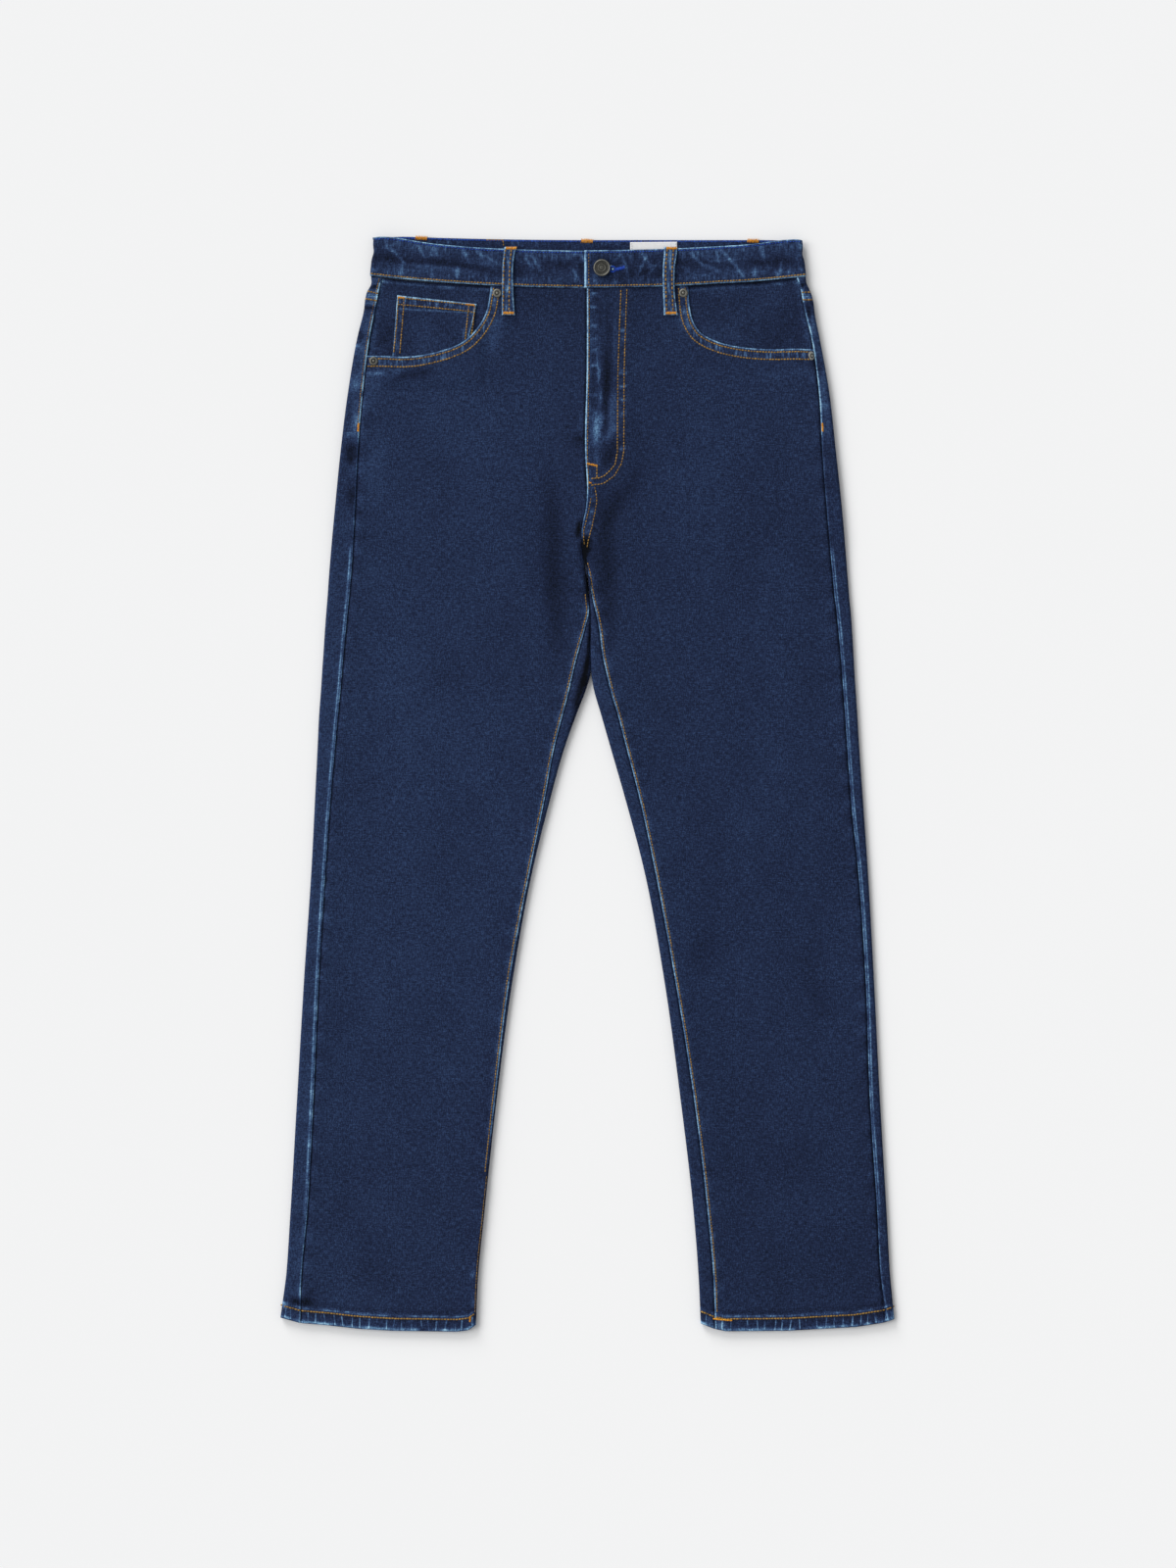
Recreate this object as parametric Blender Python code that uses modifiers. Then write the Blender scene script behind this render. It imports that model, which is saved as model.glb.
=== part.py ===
"""Straight leg jeans laid flat on a table, front side up.

Frame: +X to the wearer's left, +Y to the waist, +Z up, with the table at z = 0 and the middle of
the garment's footprint at x = y = 0. Every size below is in millimetres.

Each leg is a flattened tube of denim. A cut through it is one closed curve: a flat underside, a
round fold at each edge and a shallow upper side. The front panel takes the upper side from seam to
seam and the back panel takes the rest, so the back panel shows as a strip along both edges. What
lies on a panel follows that panel's surface.
"""

import math
from typing import NamedTuple

import bmesh
import bpy
import numpy as np

MM = 0.001

# Cloth and the gaps between pieces
DENIM = 1.2
HEM_DENIM = 2.4
BAND = 2.4
LOOP = 1.7
TAPE = 1.0
SEAM_GAP = 0.3
LAYER_GAP = 0.4

# Heights of the lying garment
FOLD_RADIUS = 3.1
FOLD_FLAT = 3.0
LIP_STEPS = 0.25
FLAT_STEPS = 0.5
SEAM_REACH = 3.9
POCKET_LIFT = DENIM + SEAM_GAP
LOOP_LIFT = LOOP + SEAM_GAP
LIFT_START = 215.0
LIFT_FULL = 270.0
LOOP_LIFT_START = 440.0
LOOP_LIFT_FULL = 485.0
DIP_REACH = 60.0
NO_EDGE = 500.0

# Levels along the garment, along Y
HEM_Y = -559.0
HEM_FOLD_Y = -545.5
HEM_TOP_Y = -543.0
HEM_SHAPE_Y = -500.0
CROTCH_Y = 205.0
JOIN_START_Y = 185.0
JOIN_END_Y = 212.0
CROTCH_TURN = 20.0
CROTCH_CLOSE = 30.0
CROTCH_EASE = 0.45
HIP_Y = 370.0
YOKE_SIDE_Y = 498.0
YOKE_CENTER_Y = 448.0

# Waistband
BAND_FRONT_CENTER_Y = 506.5
BAND_FRONT_RISE = 13.0
BAND_BACK_CENTER_Y = 518.0
BAND_BACK_RISE = 2.0
BAND_HALF_WIDTH = 221.0
BAND_TOP_CENTER_Y = 544.2
BAND_TOP_RISE = 13.6
BAND_TOP_POWER = 2.2
BACK_BAND_TOP_Y = 555.6
BACK_BAND_TOP_RISE = 3.9
BAND_TOP_HALF_WIDTH = 219.0
BAND_LEAN = 3.6
BAND_JOIN_X = 205.0
BAND_FOLD_RADIUS = 3.5
BAND_FRONT_TOP = 8.8
BAND_UNDER_TOP = 7.5
BAND_UPPER_TOP = 10.4
BAND_SIDE_RAISE = 0.2
UNDER_END_X = 38.0
UPPER_END_X = -3.8
UNDER_END_FADE = (8.0, 40.0)
UPPER_END_FADE = (42.0, 74.0)
UNDER_BAND_REACH = (-UNDER_END_X, -20.0, 0.0, 8.0, 24.0, 40.0, 75.0, 110.0, 145.0, 180.0, BAND_JOIN_X)
UPPER_BAND_REACH = (UPPER_END_X, 16.0, 42.0, 58.0, 74.0, 110.0, 145.0, 180.0, BAND_JOIN_X)
BAND_FOLD_STEPS = 8

# Fly
FLY_OVERLAP = 10.0
FLY_RAISE = 1.5
FLY_WIDTH = 38.0
FLY_FADE = 20.0
FLY_FOOT_Y = 312.0
FLY_FOOT_FADE = 27.0
ZIP_WIDTH = 23.0
ZIP_FOOT_Y = 325.0
ZIP_TOP_Y = 500.0
ZIP_TAPE_FOOT_Y = 347.0
ZIP_DROP = 0.1

# Pockets
FACING_DROP = DENIM + LAYER_GAP
FACING_HIDDEN = 14.0
COIN_RAISE = 1.8
COIN_GAP = 0.5
BACK_POCKET_INNER_X = 52.0
BACK_POCKET_WIDTH = 142.0

# Belt loops
LOOP_WIDTH = 13.0
LOOP_LENGTH = 70.0
BACK_LOOP_BEYOND = 1.5

# Metal
RIVET_RADIUS = 4.7
RIVET_HEIGHT = 1.5
BUTTON_RADIUS = 8.7
BUTTON_X = 14.1
BUTTON_Y = 525.9
RIVET_STEPS = 16
BUTTON_STEPS = 28


class LegRow(NamedTuple):
    """Where a leg's edges and seams are at one height; distances from the centre line."""

    y: float
    outer: float
    side_seam: float
    inseam: float
    inner: float


RIGHT_ROWS = (
    LegRow(y=-559, outer=314.0, side_seam=293.4, inseam=119.4, inner=114.4),
    LegRow(y=-500, outer=308.0, side_seam=292.0, inseam=115.8, inner=112.0),
    LegRow(y=-440, outer=304.0, side_seam=286.4, inseam=109.4, inner=106.0),
    LegRow(y=-320, outer=297.0, side_seam=279.8, inseam=96.4, inner=93.0),
    LegRow(y=-200, outer=290.0, side_seam=274.5, inseam=80.4, inner=77.0),
    LegRow(y=-80, outer=282.0, side_seam=267.0, inseam=58.0, inner=54.6),
    LegRow(y=-20, outer=279.0, side_seam=262.7, inseam=45.8, inner=40.0),
    LegRow(y=40, outer=276.0, side_seam=257.5, inseam=34.8, inner=22.6),
    LegRow(y=70, outer=274.6, side_seam=254.8, inseam=26.8, inner=11.8),
    LegRow(y=100, outer=272.4, side_seam=251.8, inseam=19.0, inner=0.6),
    LegRow(y=130, outer=270.4, side_seam=249.3, inseam=12.2, inner=-1.2),
    LegRow(y=160, outer=268.4, side_seam=246.5, inseam=4.8, inner=-0.8),
    LegRow(y=190, outer=266.0, side_seam=243.4, inseam=0.9, inner=-0.1),
    LegRow(y=CROTCH_Y, outer=265.0, side_seam=242.0, inseam=0.4, inner=0.2),
    LegRow(y=280, outer=258.5, side_seam=237.3, inseam=0.15, inner=0.2),
    LegRow(y=340, outer=252.5, side_seam=234.3, inseam=0.15, inner=0.2),
    LegRow(y=400, outer=245.0, side_seam=229.4, inseam=0.15, inner=0.2),
    LegRow(y=460, outer=234.5, side_seam=221.7, inseam=0.15, inner=0.2),
    LegRow(y=520, outer=221.5, side_seam=209.5, inseam=0.15, inner=0.2),
)
LEFT_ROWS = (
    LegRow(y=-559, outer=312.8, side_seam=305.4, inseam=129.8, inner=115.0),
    LegRow(y=-500, outer=308.3, side_seam=298.4, inseam=128.4, inner=112.6),
    LegRow(y=-440, outer=305.0, side_seam=295.2, inseam=123.0, inner=108.0),
    LegRow(y=-320, outer=298.0, side_seam=287.4, inseam=109.3, inner=94.0),
    LegRow(y=-200, outer=292.0, side_seam=283.2, inseam=90.6, inner=77.8),
    LegRow(y=-80, outer=285.2, side_seam=274.8, inseam=67.3, inner=55.0),
    LegRow(y=-20, outer=281.0, side_seam=268.5, inseam=53.5, inner=38.8),
    LegRow(y=40, outer=276.8, side_seam=264.2, inseam=39.2, inner=22.2),
    LegRow(y=70, outer=275.0, side_seam=262.2, inseam=31.2, inner=14.0),
    LegRow(y=100, outer=273.0, side_seam=260.0, inseam=23.2, inner=6.0),
    LegRow(y=130, outer=271.2, side_seam=257.8, inseam=15.6, inner=2.4),
    LegRow(y=160, outer=269.4, side_seam=255.0, inseam=12.2, inner=1.4),
    LegRow(y=190, outer=266.8, side_seam=251.6, inseam=6.4, inner=0.6),
    LegRow(y=CROTCH_Y, outer=265.6, side_seam=250.2, inseam=1.4, inner=0.2),
    LegRow(y=280, outer=259.4, side_seam=243.4, inseam=0.15, inner=0.2),
    LegRow(y=340, outer=253.0, side_seam=238.8, inseam=0.15, inner=0.2),
    LegRow(y=400, outer=246.2, side_seam=235.4, inseam=0.15, inner=0.2),
    LegRow(y=460, outer=235.4, side_seam=227.0, inseam=0.15, inner=0.2),
    LegRow(y=520, outer=222.6, side_seam=212.6, inseam=0.15, inner=0.2),
)


class HemPoint(NamedTuple):
    """The hem's lower edge: across runs from 0 at the inner edge to 1 at the outer edge."""

    across: float
    y: float


RIGHT_HEM = (
    HemPoint(across=0.0, y=-552.0),
    HemPoint(across=0.04, y=-557.5),
    HemPoint(across=0.1, y=-559.0),
    HemPoint(across=0.43, y=-558.0),
    HemPoint(across=0.6, y=-556.0),
    HemPoint(across=0.77, y=-552.2),
    HemPoint(across=0.9, y=-550.0),
    HemPoint(across=1.0, y=-544.5),
)
LEFT_HEM = (
    HemPoint(across=0.0, y=-550.5),
    HemPoint(across=0.07, y=-556.0),
    HemPoint(across=0.13, y=-558.5),
    HemPoint(across=0.45, y=-558.0),
    HemPoint(across=0.8, y=-554.2),
    HemPoint(across=0.95, y=-549.5),
    HemPoint(across=1.0, y=-546.0),
)


class MidHeight(NamedTuple):
    """Thickness of both layers together in the middle of a leg, at one height."""

    y: float
    height: float


MID_HEIGHTS = (
    MidHeight(y=-559, height=5.9),
    MidHeight(y=-540, height=5.6),
    MidHeight(y=-470, height=4.6),
    MidHeight(y=-60, height=4.3),
    MidHeight(y=120, height=5.2),
    MidHeight(y=215, height=5.8),
    MidHeight(y=300, height=5.2),
    MidHeight(y=400, height=4.8),
    MidHeight(y=500, height=5.3),
    MidHeight(y=560, height=5.4),
)


class FlyPoint(NamedTuple):
    """The front edge of the overlapping left panel."""

    y: float
    x: float


FLY_LINE = (
    FlyPoint(y=205, x=0.0),
    FlyPoint(y=222, x=-3.4),
    FlyPoint(y=244, x=-6.2),
    FlyPoint(y=262, x=-6.4),
    FlyPoint(y=283, x=-2.2),
    FlyPoint(y=300, x=-1.2),
    FlyPoint(y=335, x=-3.0),
    FlyPoint(y=420, x=-1.5),
    FlyPoint(y=560, x=-1.5),
)


class Fold(NamedTuple):
    """A soft trough or ridge of the upper layer, along a straight line."""

    x: float
    y: float
    turned: float
    length: float
    width: float
    depth: float


# Turned counts degrees from +Y towards +X. A negative depth is a trough.
FOLDS = (
    Fold(x=-37, y=250, turned=-2, length=250, width=34, depth=-0.8),
    Fold(x=22, y=190, turned=-2, length=110, width=24, depth=-0.6),
    Fold(x=34, y=300, turned=25, length=90, width=26, depth=-0.6),
    Fold(x=-180, y=412, turned=80, length=90, width=22, depth=-0.5),
    Fold(x=132, y=-190, turned=15, length=190, width=60, depth=-0.5),
    Fold(x=226, y=-232, turned=-20, length=150, width=50, depth=-0.5),
    Fold(x=-222, y=-480, turned=20, length=130, width=60, depth=-0.4),
    Fold(x=-120, y=-90, turned=-6, length=240, width=60, depth=-0.4),
    Fold(x=178, y=-250, turned=88, length=120, width=26, depth=-0.35),
)

# Panel grids: stations across, as shares of the panel's width or distances from its inner edge
SIDE_SHARES = (0.0, 0.05, 0.1, 0.16, 0.22, 0.28, 0.34, 0.4, 0.46)
LEG_SHARES = (0.4, 0.27, 0.15)
LEG_EDGE_DISTANCES = (14.0, 4.0, 0.0)
FLY_SHARES = (0.4, 0.265)
FLY_EDGE_DISTANCES = (36.0, 24.0, 12.0, 0.0)
WAIST_DISTANCES = (76.0, 56.0, 36.0, 24.0, 12.0, 0.0)
FLY_GRID_Y = (180.0, 300.0)
LEG_LEVELS = (-500, -440, -380, -320, -260, -200, -140, -80, -20, 40, 70, 100, 130, 160, 190)
CROTCH_LEVELS = (205, 214, 228, 250, 280, 310, 340)
OPENING_STEPS = 4
SIDE_FOLD_STEPS = 9
INSEAM_FOLD_STEPS = 8
UNDERSIDE_STEPS = 8
YOKE_ROWS = 4
FACING_GRID = (8, 9)


def smooth_table(rows, column, at):
    """A table's column read along its first column, on a cubic with the table's own slopes."""
    stations = np.array([row[0] for row in rows], float)
    values = np.array([getattr(row, column) for row in rows], float)
    slopes = np.gradient(values, stations)
    at = np.clip(at, stations[0], stations[-1])
    left = np.clip(np.searchsorted(stations, at) - 1, 0, len(stations) - 2)
    span = stations[left + 1] - stations[left]
    t = (at - stations[left]) / span
    rise = values[left + 1] - values[left]
    start = slopes[left] * span
    end = slopes[left + 1] * span
    return values[left] + start * t + (3 * rise - 2 * start - end) * t**2 + (start + end - 2 * rise) * t**3


def ramp(start, end, at):
    """0 before start, 1 after end, smooth between."""
    t = np.clip((np.asarray(at, float) - start) / (end - start), 0.0, 1.0)
    return t * t * (3.0 - 2.0 * t)


class Leg(NamedTuple):
    """One half of the garment. Distances from the centre line count as positive outwards."""

    name: str
    side: float
    rows: tuple
    hem: tuple
    opening_side_y: float
    opening_waist: float
    opening_power: float

    def line(self, column, y):
        return smooth_table(self.rows, column, y)


RIGHT = Leg("right", -1.0, RIGHT_ROWS, RIGHT_HEM, opening_side_y=437.0, opening_waist=98.0, opening_power=2.9)
LEFT = Leg("left", 1.0, LEFT_ROWS, LEFT_HEM, opening_side_y=443.5, opening_waist=102.0, opening_power=3.7)
LEGS = (RIGHT, LEFT)


# Shape of the lying garment


def lift(y):
    """Height of the back panel's underside: it lies on the back pockets and the belt loops."""
    pocket = POCKET_LIFT * ramp(LIFT_START, LIFT_FULL, y)
    loop = (LOOP_LIFT - POCKET_LIFT) * ramp(LOOP_LIFT_START, LOOP_LIFT_FULL, y)
    return pocket + loop


def fly_x(y):
    return smooth_table(FLY_LINE, "x", y)


def fold_depth(x, y):
    """Sum of the soft folds at a place: each is a bell across its line, and fades at its ends."""
    depth = np.zeros(np.broadcast(x, y).shape)
    for fold in FOLDS:
        turned = math.radians(fold.turned)
        along = (x - fold.x) * math.sin(turned) + (y - fold.y) * math.cos(turned)
        across = (x - fold.x) * math.cos(turned) - (y - fold.y) * math.sin(turned)
        depth += fold.depth * np.exp(-((2 * across / fold.width) ** 2) - (2 * along / fold.length) ** 4)
    return depth


def rounding(distance):
    """How far a round fold has dropped from its full height, at a distance from its edge."""
    inside = FOLD_RADIUS - np.clip(distance, 0.0, FOLD_RADIUS)
    return FOLD_RADIUS - np.sqrt(FOLD_RADIUS**2 - inside**2)


def top_height(leg, reach, y):
    """Height of the upper side at a distance from the centre line."""
    outer_distance = leg.line("outer", y) - reach
    inner_distance = reach - leg.line("inner", y)
    joined = ramp(JOIN_START_Y, JOIN_END_Y, y)
    nearest = np.minimum(outer_distance, inner_distance + joined * NO_EDGE)
    settled = ramp(FOLD_RADIUS, FOLD_RADIUS + DIP_REACH, nearest)
    full = 2 * FOLD_RADIUS
    height = full - rounding(outer_distance) - rounding(inner_distance) * (1 - joined)
    height -= settled * (full - smooth_table(MID_HEIGHTS, "height", y))
    height += settled * fold_depth(leg.side * reach, y)
    return lift(y) + height


def hem_shaped(leg, y, across):
    """A level near the hem, moved so that the last level follows the hem's lower edge."""
    share = np.clip((HEM_SHAPE_Y - y) / (HEM_SHAPE_Y - HEM_Y), 0.0, 1.0)
    edge = np.interp(across, [point.across for point in leg.hem], [point.y for point in leg.hem])
    return y + share * (edge - HEM_Y)


def yoke_seam_y(across):
    return YOKE_CENTER_Y + (YOKE_SIDE_Y - YOKE_CENTER_Y) * across


def front_waist_y(x):
    return BAND_FRONT_CENTER_Y + BAND_FRONT_RISE * (x / BAND_HALF_WIDTH) ** 2


def back_waist_y(x):
    return BAND_BACK_CENTER_Y + BAND_BACK_RISE * (x / BAND_HALF_WIDTH) ** 2


# Meshes


def simple_material(name, color, roughness=0.85, metallic=0.0):
    material = bpy.data.materials.new(name)
    material.use_nodes = True
    shader = material.node_tree.nodes["Principled BSDF"]
    shader.inputs["Base Color"].default_value = (*color, 1.0)
    shader.inputs["Roughness"].default_value = roughness
    shader.inputs["Metallic"].default_value = metallic
    return material


def clear_scene():
    for item in list(bpy.data.objects):
        bpy.data.objects.remove(item, do_unlink=True)


def garment_collection():
    collection = bpy.data.collections.new("straight_leg_jeans")
    bpy.context.scene.collection.children.link(collection)
    return collection


def add_object(collection, name, mesh, material):
    piece = bpy.data.objects.new(name, mesh)
    piece.data.materials.append(material)
    collection.objects.link(piece)
    return piece


def grid_faces(rows, columns):
    """Quads of a grid that is stored row by row, turned to face up where columns run along +X
    and rows along +Y."""
    corner = np.arange(rows * columns).reshape(rows, columns)
    quads = np.stack([corner[:-1, :-1], corner[:-1, 1:], corner[1:, 1:], corner[1:, :-1]], axis=-1)
    return quads.reshape(-1, 4)


def add_shell(collection, name, points, wall, material, turned=False, hem_rows=0):
    """A cloth wall under a grid of outer points (rows, columns, xyz), by Solidify.

    hem_rows: how many first rows are the folded hem, with the full wall; the rest has DENIM.
    """
    rows, columns = points.shape[:2]
    faces = grid_faces(rows, columns)
    if turned:
        faces = faces[:, ::-1]
    mesh = bpy.data.meshes.new(name)
    mesh.from_pydata((points.reshape(-1, 3) * MM).tolist(), [], faces.tolist())
    mesh.shade_smooth()
    piece = add_object(collection, name, mesh, material)
    solidify = piece.modifiers.new("wall", "SOLIDIFY")
    solidify.thickness = wall * MM
    solidify.offset = -1.0
    solidify.use_even_offset = True
    if hem_rows:
        group = piece.vertex_groups.new(name="hem")
        group.add(list(range(hem_rows * columns)), 1.0, "REPLACE")
        group.add(list(range(hem_rows * columns, rows * columns)), 0.0, "REPLACE")
        solidify.vertex_group = "hem"
        solidify.thickness_vertex_group = DENIM / wall
    return piece


def placed(leg, reach, y, z):
    """Points (rows, columns, xyz) from distances outwards, levels and heights."""
    return np.stack([leg.side * reach, np.broadcast_to(y, reach.shape), z], axis=-1)


# Back panels and yokes


def fold_stations(reach, angle, count):
    """Points round one fold, from the seam on the upper side to the flat underside.

    Args: how far the seam lies from the fold's edge, how far the cloth turns in radians, and how
    many steps to take. Returns each point's distance from the fold's edge, its height over the
    underside and whether it lies on the flat upper side. Steps are close on the round, and one
    point is where the round starts.
    """
    lip = max(reach - FOLD_RADIUS, 0.0) if angle == math.pi else 0.0
    arc = FOLD_RADIUS * angle
    flat = FOLD_FLAT + FOLD_RADIUS * math.pi - arc
    ends = np.cumsum([0.0, lip, arc, flat])
    effort = np.cumsum([0.0, LIP_STEPS * lip, arc, FLAT_STEPS * flat]) + np.arange(4) * 1e-6
    along = np.interp(np.linspace(0.0, effort[-1], count + 1), effort, ends)
    on_lip = np.zeros(count + 1, bool)
    if lip > 0.0:
        last = max(int(np.abs(along - lip).argmin()), 1)
        along[last] = lip
        on_lip[: last + 1] = True
    crest = 1.0 if angle >= math.pi / 2 else math.sin(angle)
    left = np.clip(angle - (along - lip) / FOLD_RADIUS, 0.0, angle)
    distance = FOLD_RADIUS * (crest - np.sin(left)) + np.clip(along - lip - arc, 0.0, None)
    distance = np.where(on_lip, reach - along, distance)
    height = FOLD_RADIUS * (1.0 - np.cos(left))
    return distance, height, on_lip


def inner_angle(y):
    """How far the inner edge of the back turns: all the way round below the crotch, none above."""
    return math.pi * (1.0 - float(ramp(CROTCH_Y, CROTCH_Y + CROTCH_TURN, y)))


def back_section(leg, level, shaped_y):
    """One row of the back panel or yoke, from the side seam round the underside to the inseam."""
    outer = float(leg.line("outer", level))
    inner = float(leg.line("inner", level))
    half_gap = SEAM_GAP / 2
    side_reach = outer - float(leg.line("side_seam", level)) - half_gap
    seam_reach = max(float(leg.line("inseam", level)) - inner, SEAM_REACH) - half_gap
    side_distance, side_height, side_lip = fold_stations(side_reach, math.pi, SIDE_FOLD_STEPS)
    seam_distance, seam_height, seam_lip = fold_stations(seam_reach, inner_angle(level), INSEAM_FOLD_STEPS)
    reach_side = outer - side_distance
    reach_seam = inner + seam_distance
    under = np.linspace(reach_side[-1], reach_seam[-1], UNDERSIDE_STEPS)[1:-1]
    reach = np.concatenate([reach_side, under, reach_seam[::-1]])
    height = np.concatenate([side_height, np.zeros(len(under)), seam_height[::-1]])
    on_lip = np.concatenate([side_lip, np.zeros(len(under), bool), seam_lip[::-1]])
    on_top = np.zeros(len(reach), bool)
    on_top[: len(reach_side)] = side_height > FOLD_RADIUS
    across = np.where(on_top, 1.0, np.clip((reach - inner) / (outer - inner), 0.0, 1.0))
    y = shaped_y(across, reach, on_top)
    z = np.where(on_lip, top_height(leg, reach, y), height + lift(y))
    return placed(leg, reach, y, z)


def back_levels(leg):
    """Levels of the back panel: the hem, the leg, the hip, and the rows beside the pocket."""
    beside_pocket = np.linspace(HIP_Y, leg.opening_side_y, OPENING_STEPS + 1)
    under_yoke = (beside_pocket[-1] + YOKE_SIDE_Y) / 2
    return [HEM_Y, HEM_FOLD_Y, HEM_TOP_Y, *LEG_LEVELS, *CROTCH_LEVELS, *beside_pocket, under_yoke, YOKE_SIDE_Y]


def shaped_back_y(leg, level, across):
    """A row of the back panel follows the hem at its foot and the yoke seam at its top."""
    share = np.clip((level - HIP_Y) / (YOKE_SIDE_Y - HIP_Y), 0.0, 1.0)
    seam = yoke_seam_y(across) - SEAM_GAP / 2
    return hem_shaped(leg, level, across) + share * (seam - YOKE_SIDE_Y)


def add_back(collection, leg, material):
    sections = []
    for level in back_levels(leg):

        def shaped(across, _reach, _on_top, level=level):
            return shaped_back_y(leg, level, across)

        sections.append(back_section(leg, level, shaped))
    points = np.array(sections)
    name = f"back_{leg.name}"
    add_shell(collection, name, points, HEM_DENIM, material, turned=leg.side < 0, hem_rows=2)


def add_yoke(collection, leg, material):
    sections = []
    for share in np.linspace(0.0, 1.0, YOKE_ROWS):

        def shaped(across, reach, on_top, share=share):
            seam = yoke_seam_y(across) + SEAM_GAP / 2
            waist = np.where(on_top, front_waist_y(reach), back_waist_y(reach)) - SEAM_GAP
            return seam + share * (waist - seam)

        level = YOKE_SIDE_Y + share * (BAND_BACK_CENTER_Y - YOKE_SIDE_Y)
        sections.append(back_section(leg, level, shaped))
    name = f"yoke_{leg.name}"
    add_shell(collection, name, np.array(sections), DENIM, material, turned=leg.side < 0)


# Front panels


def inner_edge(leg, y):
    """Inner edge of a front panel: the inseam, and above the crotch the fly."""
    half_gap = SEAM_GAP / 2
    below = np.maximum(leg.line("inseam", y), leg.line("inner", y) + SEAM_REACH) + half_gap
    below = below + CROTCH_EASE * ramp(JOIN_START_Y, CROTCH_Y - 5.0, y)
    above = leg.side * fly_x(y) + half_gap
    if leg is RIGHT:
        above -= FLY_OVERLAP * ramp(ZIP_FOOT_Y, ZIP_FOOT_Y + 20.0, y)
    return below + (above - below) * ramp(CROTCH_Y, CROTCH_Y + CROTCH_CLOSE, y)


def outer_edge(leg, y):
    return leg.line("side_seam", y) - SEAM_GAP / 2


def front_stations(leg, y):
    """Distances outwards of one row's points, from the side seam to the inner edge."""
    outer = float(outer_edge(leg, y))
    inner = float(inner_edge(leg, y))
    width = outer - inner
    by_side = outer - np.array(SIDE_SHARES) * width
    leg_part = inner + np.array([*(share * width for share in LEG_SHARES), *LEG_EDGE_DISTANCES])
    fly_part = inner + np.array([*(share * width for share in FLY_SHARES), *FLY_EDGE_DISTANCES])
    share = ramp(*FLY_GRID_Y, y)
    return np.concatenate([by_side, leg_part + share * (fly_part - leg_part)])


def opening_curve(leg, count, beyond=0.0):
    """The front pocket's edge from the side seam to the waist: a quarter of a superellipse.

    Points are evenly spaced along it. beyond moves it outwards, under the panel.
    """
    side_reach = float(outer_edge(leg, leg.opening_side_y))
    waist_y = float(front_waist_y(leg.opening_waist)) - SEAM_GAP
    width = side_reach - leg.opening_waist
    height = waist_y - leg.opening_side_y
    turn = np.linspace(0.0, math.pi / 2, 200)
    reach = side_reach - (width + beyond) * np.sin(turn) ** (2 / leg.opening_power)
    y = waist_y - (height + beyond) * np.cos(turn) ** (2 / leg.opening_power)
    length = np.concatenate([[0.0], np.cumsum(np.hypot(np.diff(reach), np.diff(y)))])
    at = np.linspace(0.0, length[-1], count)
    return np.interp(at, length, reach), np.interp(at, length, y)


def front_top_edge(leg):
    """Upper edge of a front panel: along the pocket opening, then along the waistband."""
    opening_reach, opening_y = opening_curve(leg, len(SIDE_SHARES))
    inner = float(inner_edge(leg, BAND_FRONT_CENTER_Y))
    waist_reach = inner + np.array(WAIST_DISTANCES)
    waist_y = front_waist_y(waist_reach) - SEAM_GAP
    return np.concatenate([opening_reach, waist_reach]), np.concatenate([opening_y, waist_y])


def front_plan(leg):
    """The front panel seen from above, as distances outwards and levels of a grid."""
    levels = [HEM_Y, HEM_FOLD_Y, HEM_TOP_Y, *LEG_LEVELS, *CROTCH_LEVELS, HIP_Y]
    reach = np.array([front_stations(leg, level) for level in levels])
    y = np.repeat(np.array(levels, float)[:, None], reach.shape[1], axis=1)
    outer = leg.line("outer", y)
    inner = leg.line("inner", y)
    y = hem_shaped(leg, y, (reach - inner) / (outer - inner))
    top_reach, top_y = front_top_edge(leg)
    across = np.linspace(0.0, 1.0, len(top_reach))
    rows = [(reach, y)]
    for share in np.linspace(0.0, 1.0, OPENING_STEPS + 1)[1:]:
        row_reach = reach[-1] + share * (top_reach - reach[-1])
        row_y = HIP_Y + share * (top_y - HIP_Y)
        side_pull = float(outer_edge(leg, row_y[0])) - row_reach[0]
        inner_pull = float(inner_edge(leg, row_y[-1])) - row_reach[-1]
        row_reach = row_reach + side_pull * (1 - across) ** 2 + inner_pull * across**2
        rows.append((row_reach[None], row_y[None]))
    return np.concatenate([row[0] for row in rows]), np.concatenate([row[1] for row in rows])


def fly_raise(x, y):
    """The left panel lies over the right one and the zip, inside the fly's J shaped stitching."""
    from_edge = x - fly_x(y)
    return FLY_RAISE * (1 - ramp(FLY_WIDTH, FLY_WIDTH + FLY_FADE, from_edge)) * ramp(
        FLY_FOOT_Y - FLY_FOOT_FADE, FLY_FOOT_Y, y
    )


def coin_raise(reach, y):
    """The right panel's opening edge lies over the coin pocket's foot."""
    over = ramp(101.0, 114.0, reach) * (1 - ramp(205.0, 222.0, reach))
    return COIN_RAISE * over * ramp(400.0, 415.0, y) * (1 - ramp(462.0, 478.0, y))


def front_height(leg, reach, y):
    raised = coin_raise(reach, y) if leg is RIGHT else fly_raise(reach, y)
    return top_height(leg, reach, y) + raised


def add_front(collection, leg, material):
    reach, y = front_plan(leg)
    points = placed(leg, reach, y, front_height(leg, reach, y))
    name = f"front_{leg.name}"
    add_shell(collection, name, points, HEM_DENIM, material, turned=leg.side > 0, hem_rows=2)


# Front pockets, zip and back pockets


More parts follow.
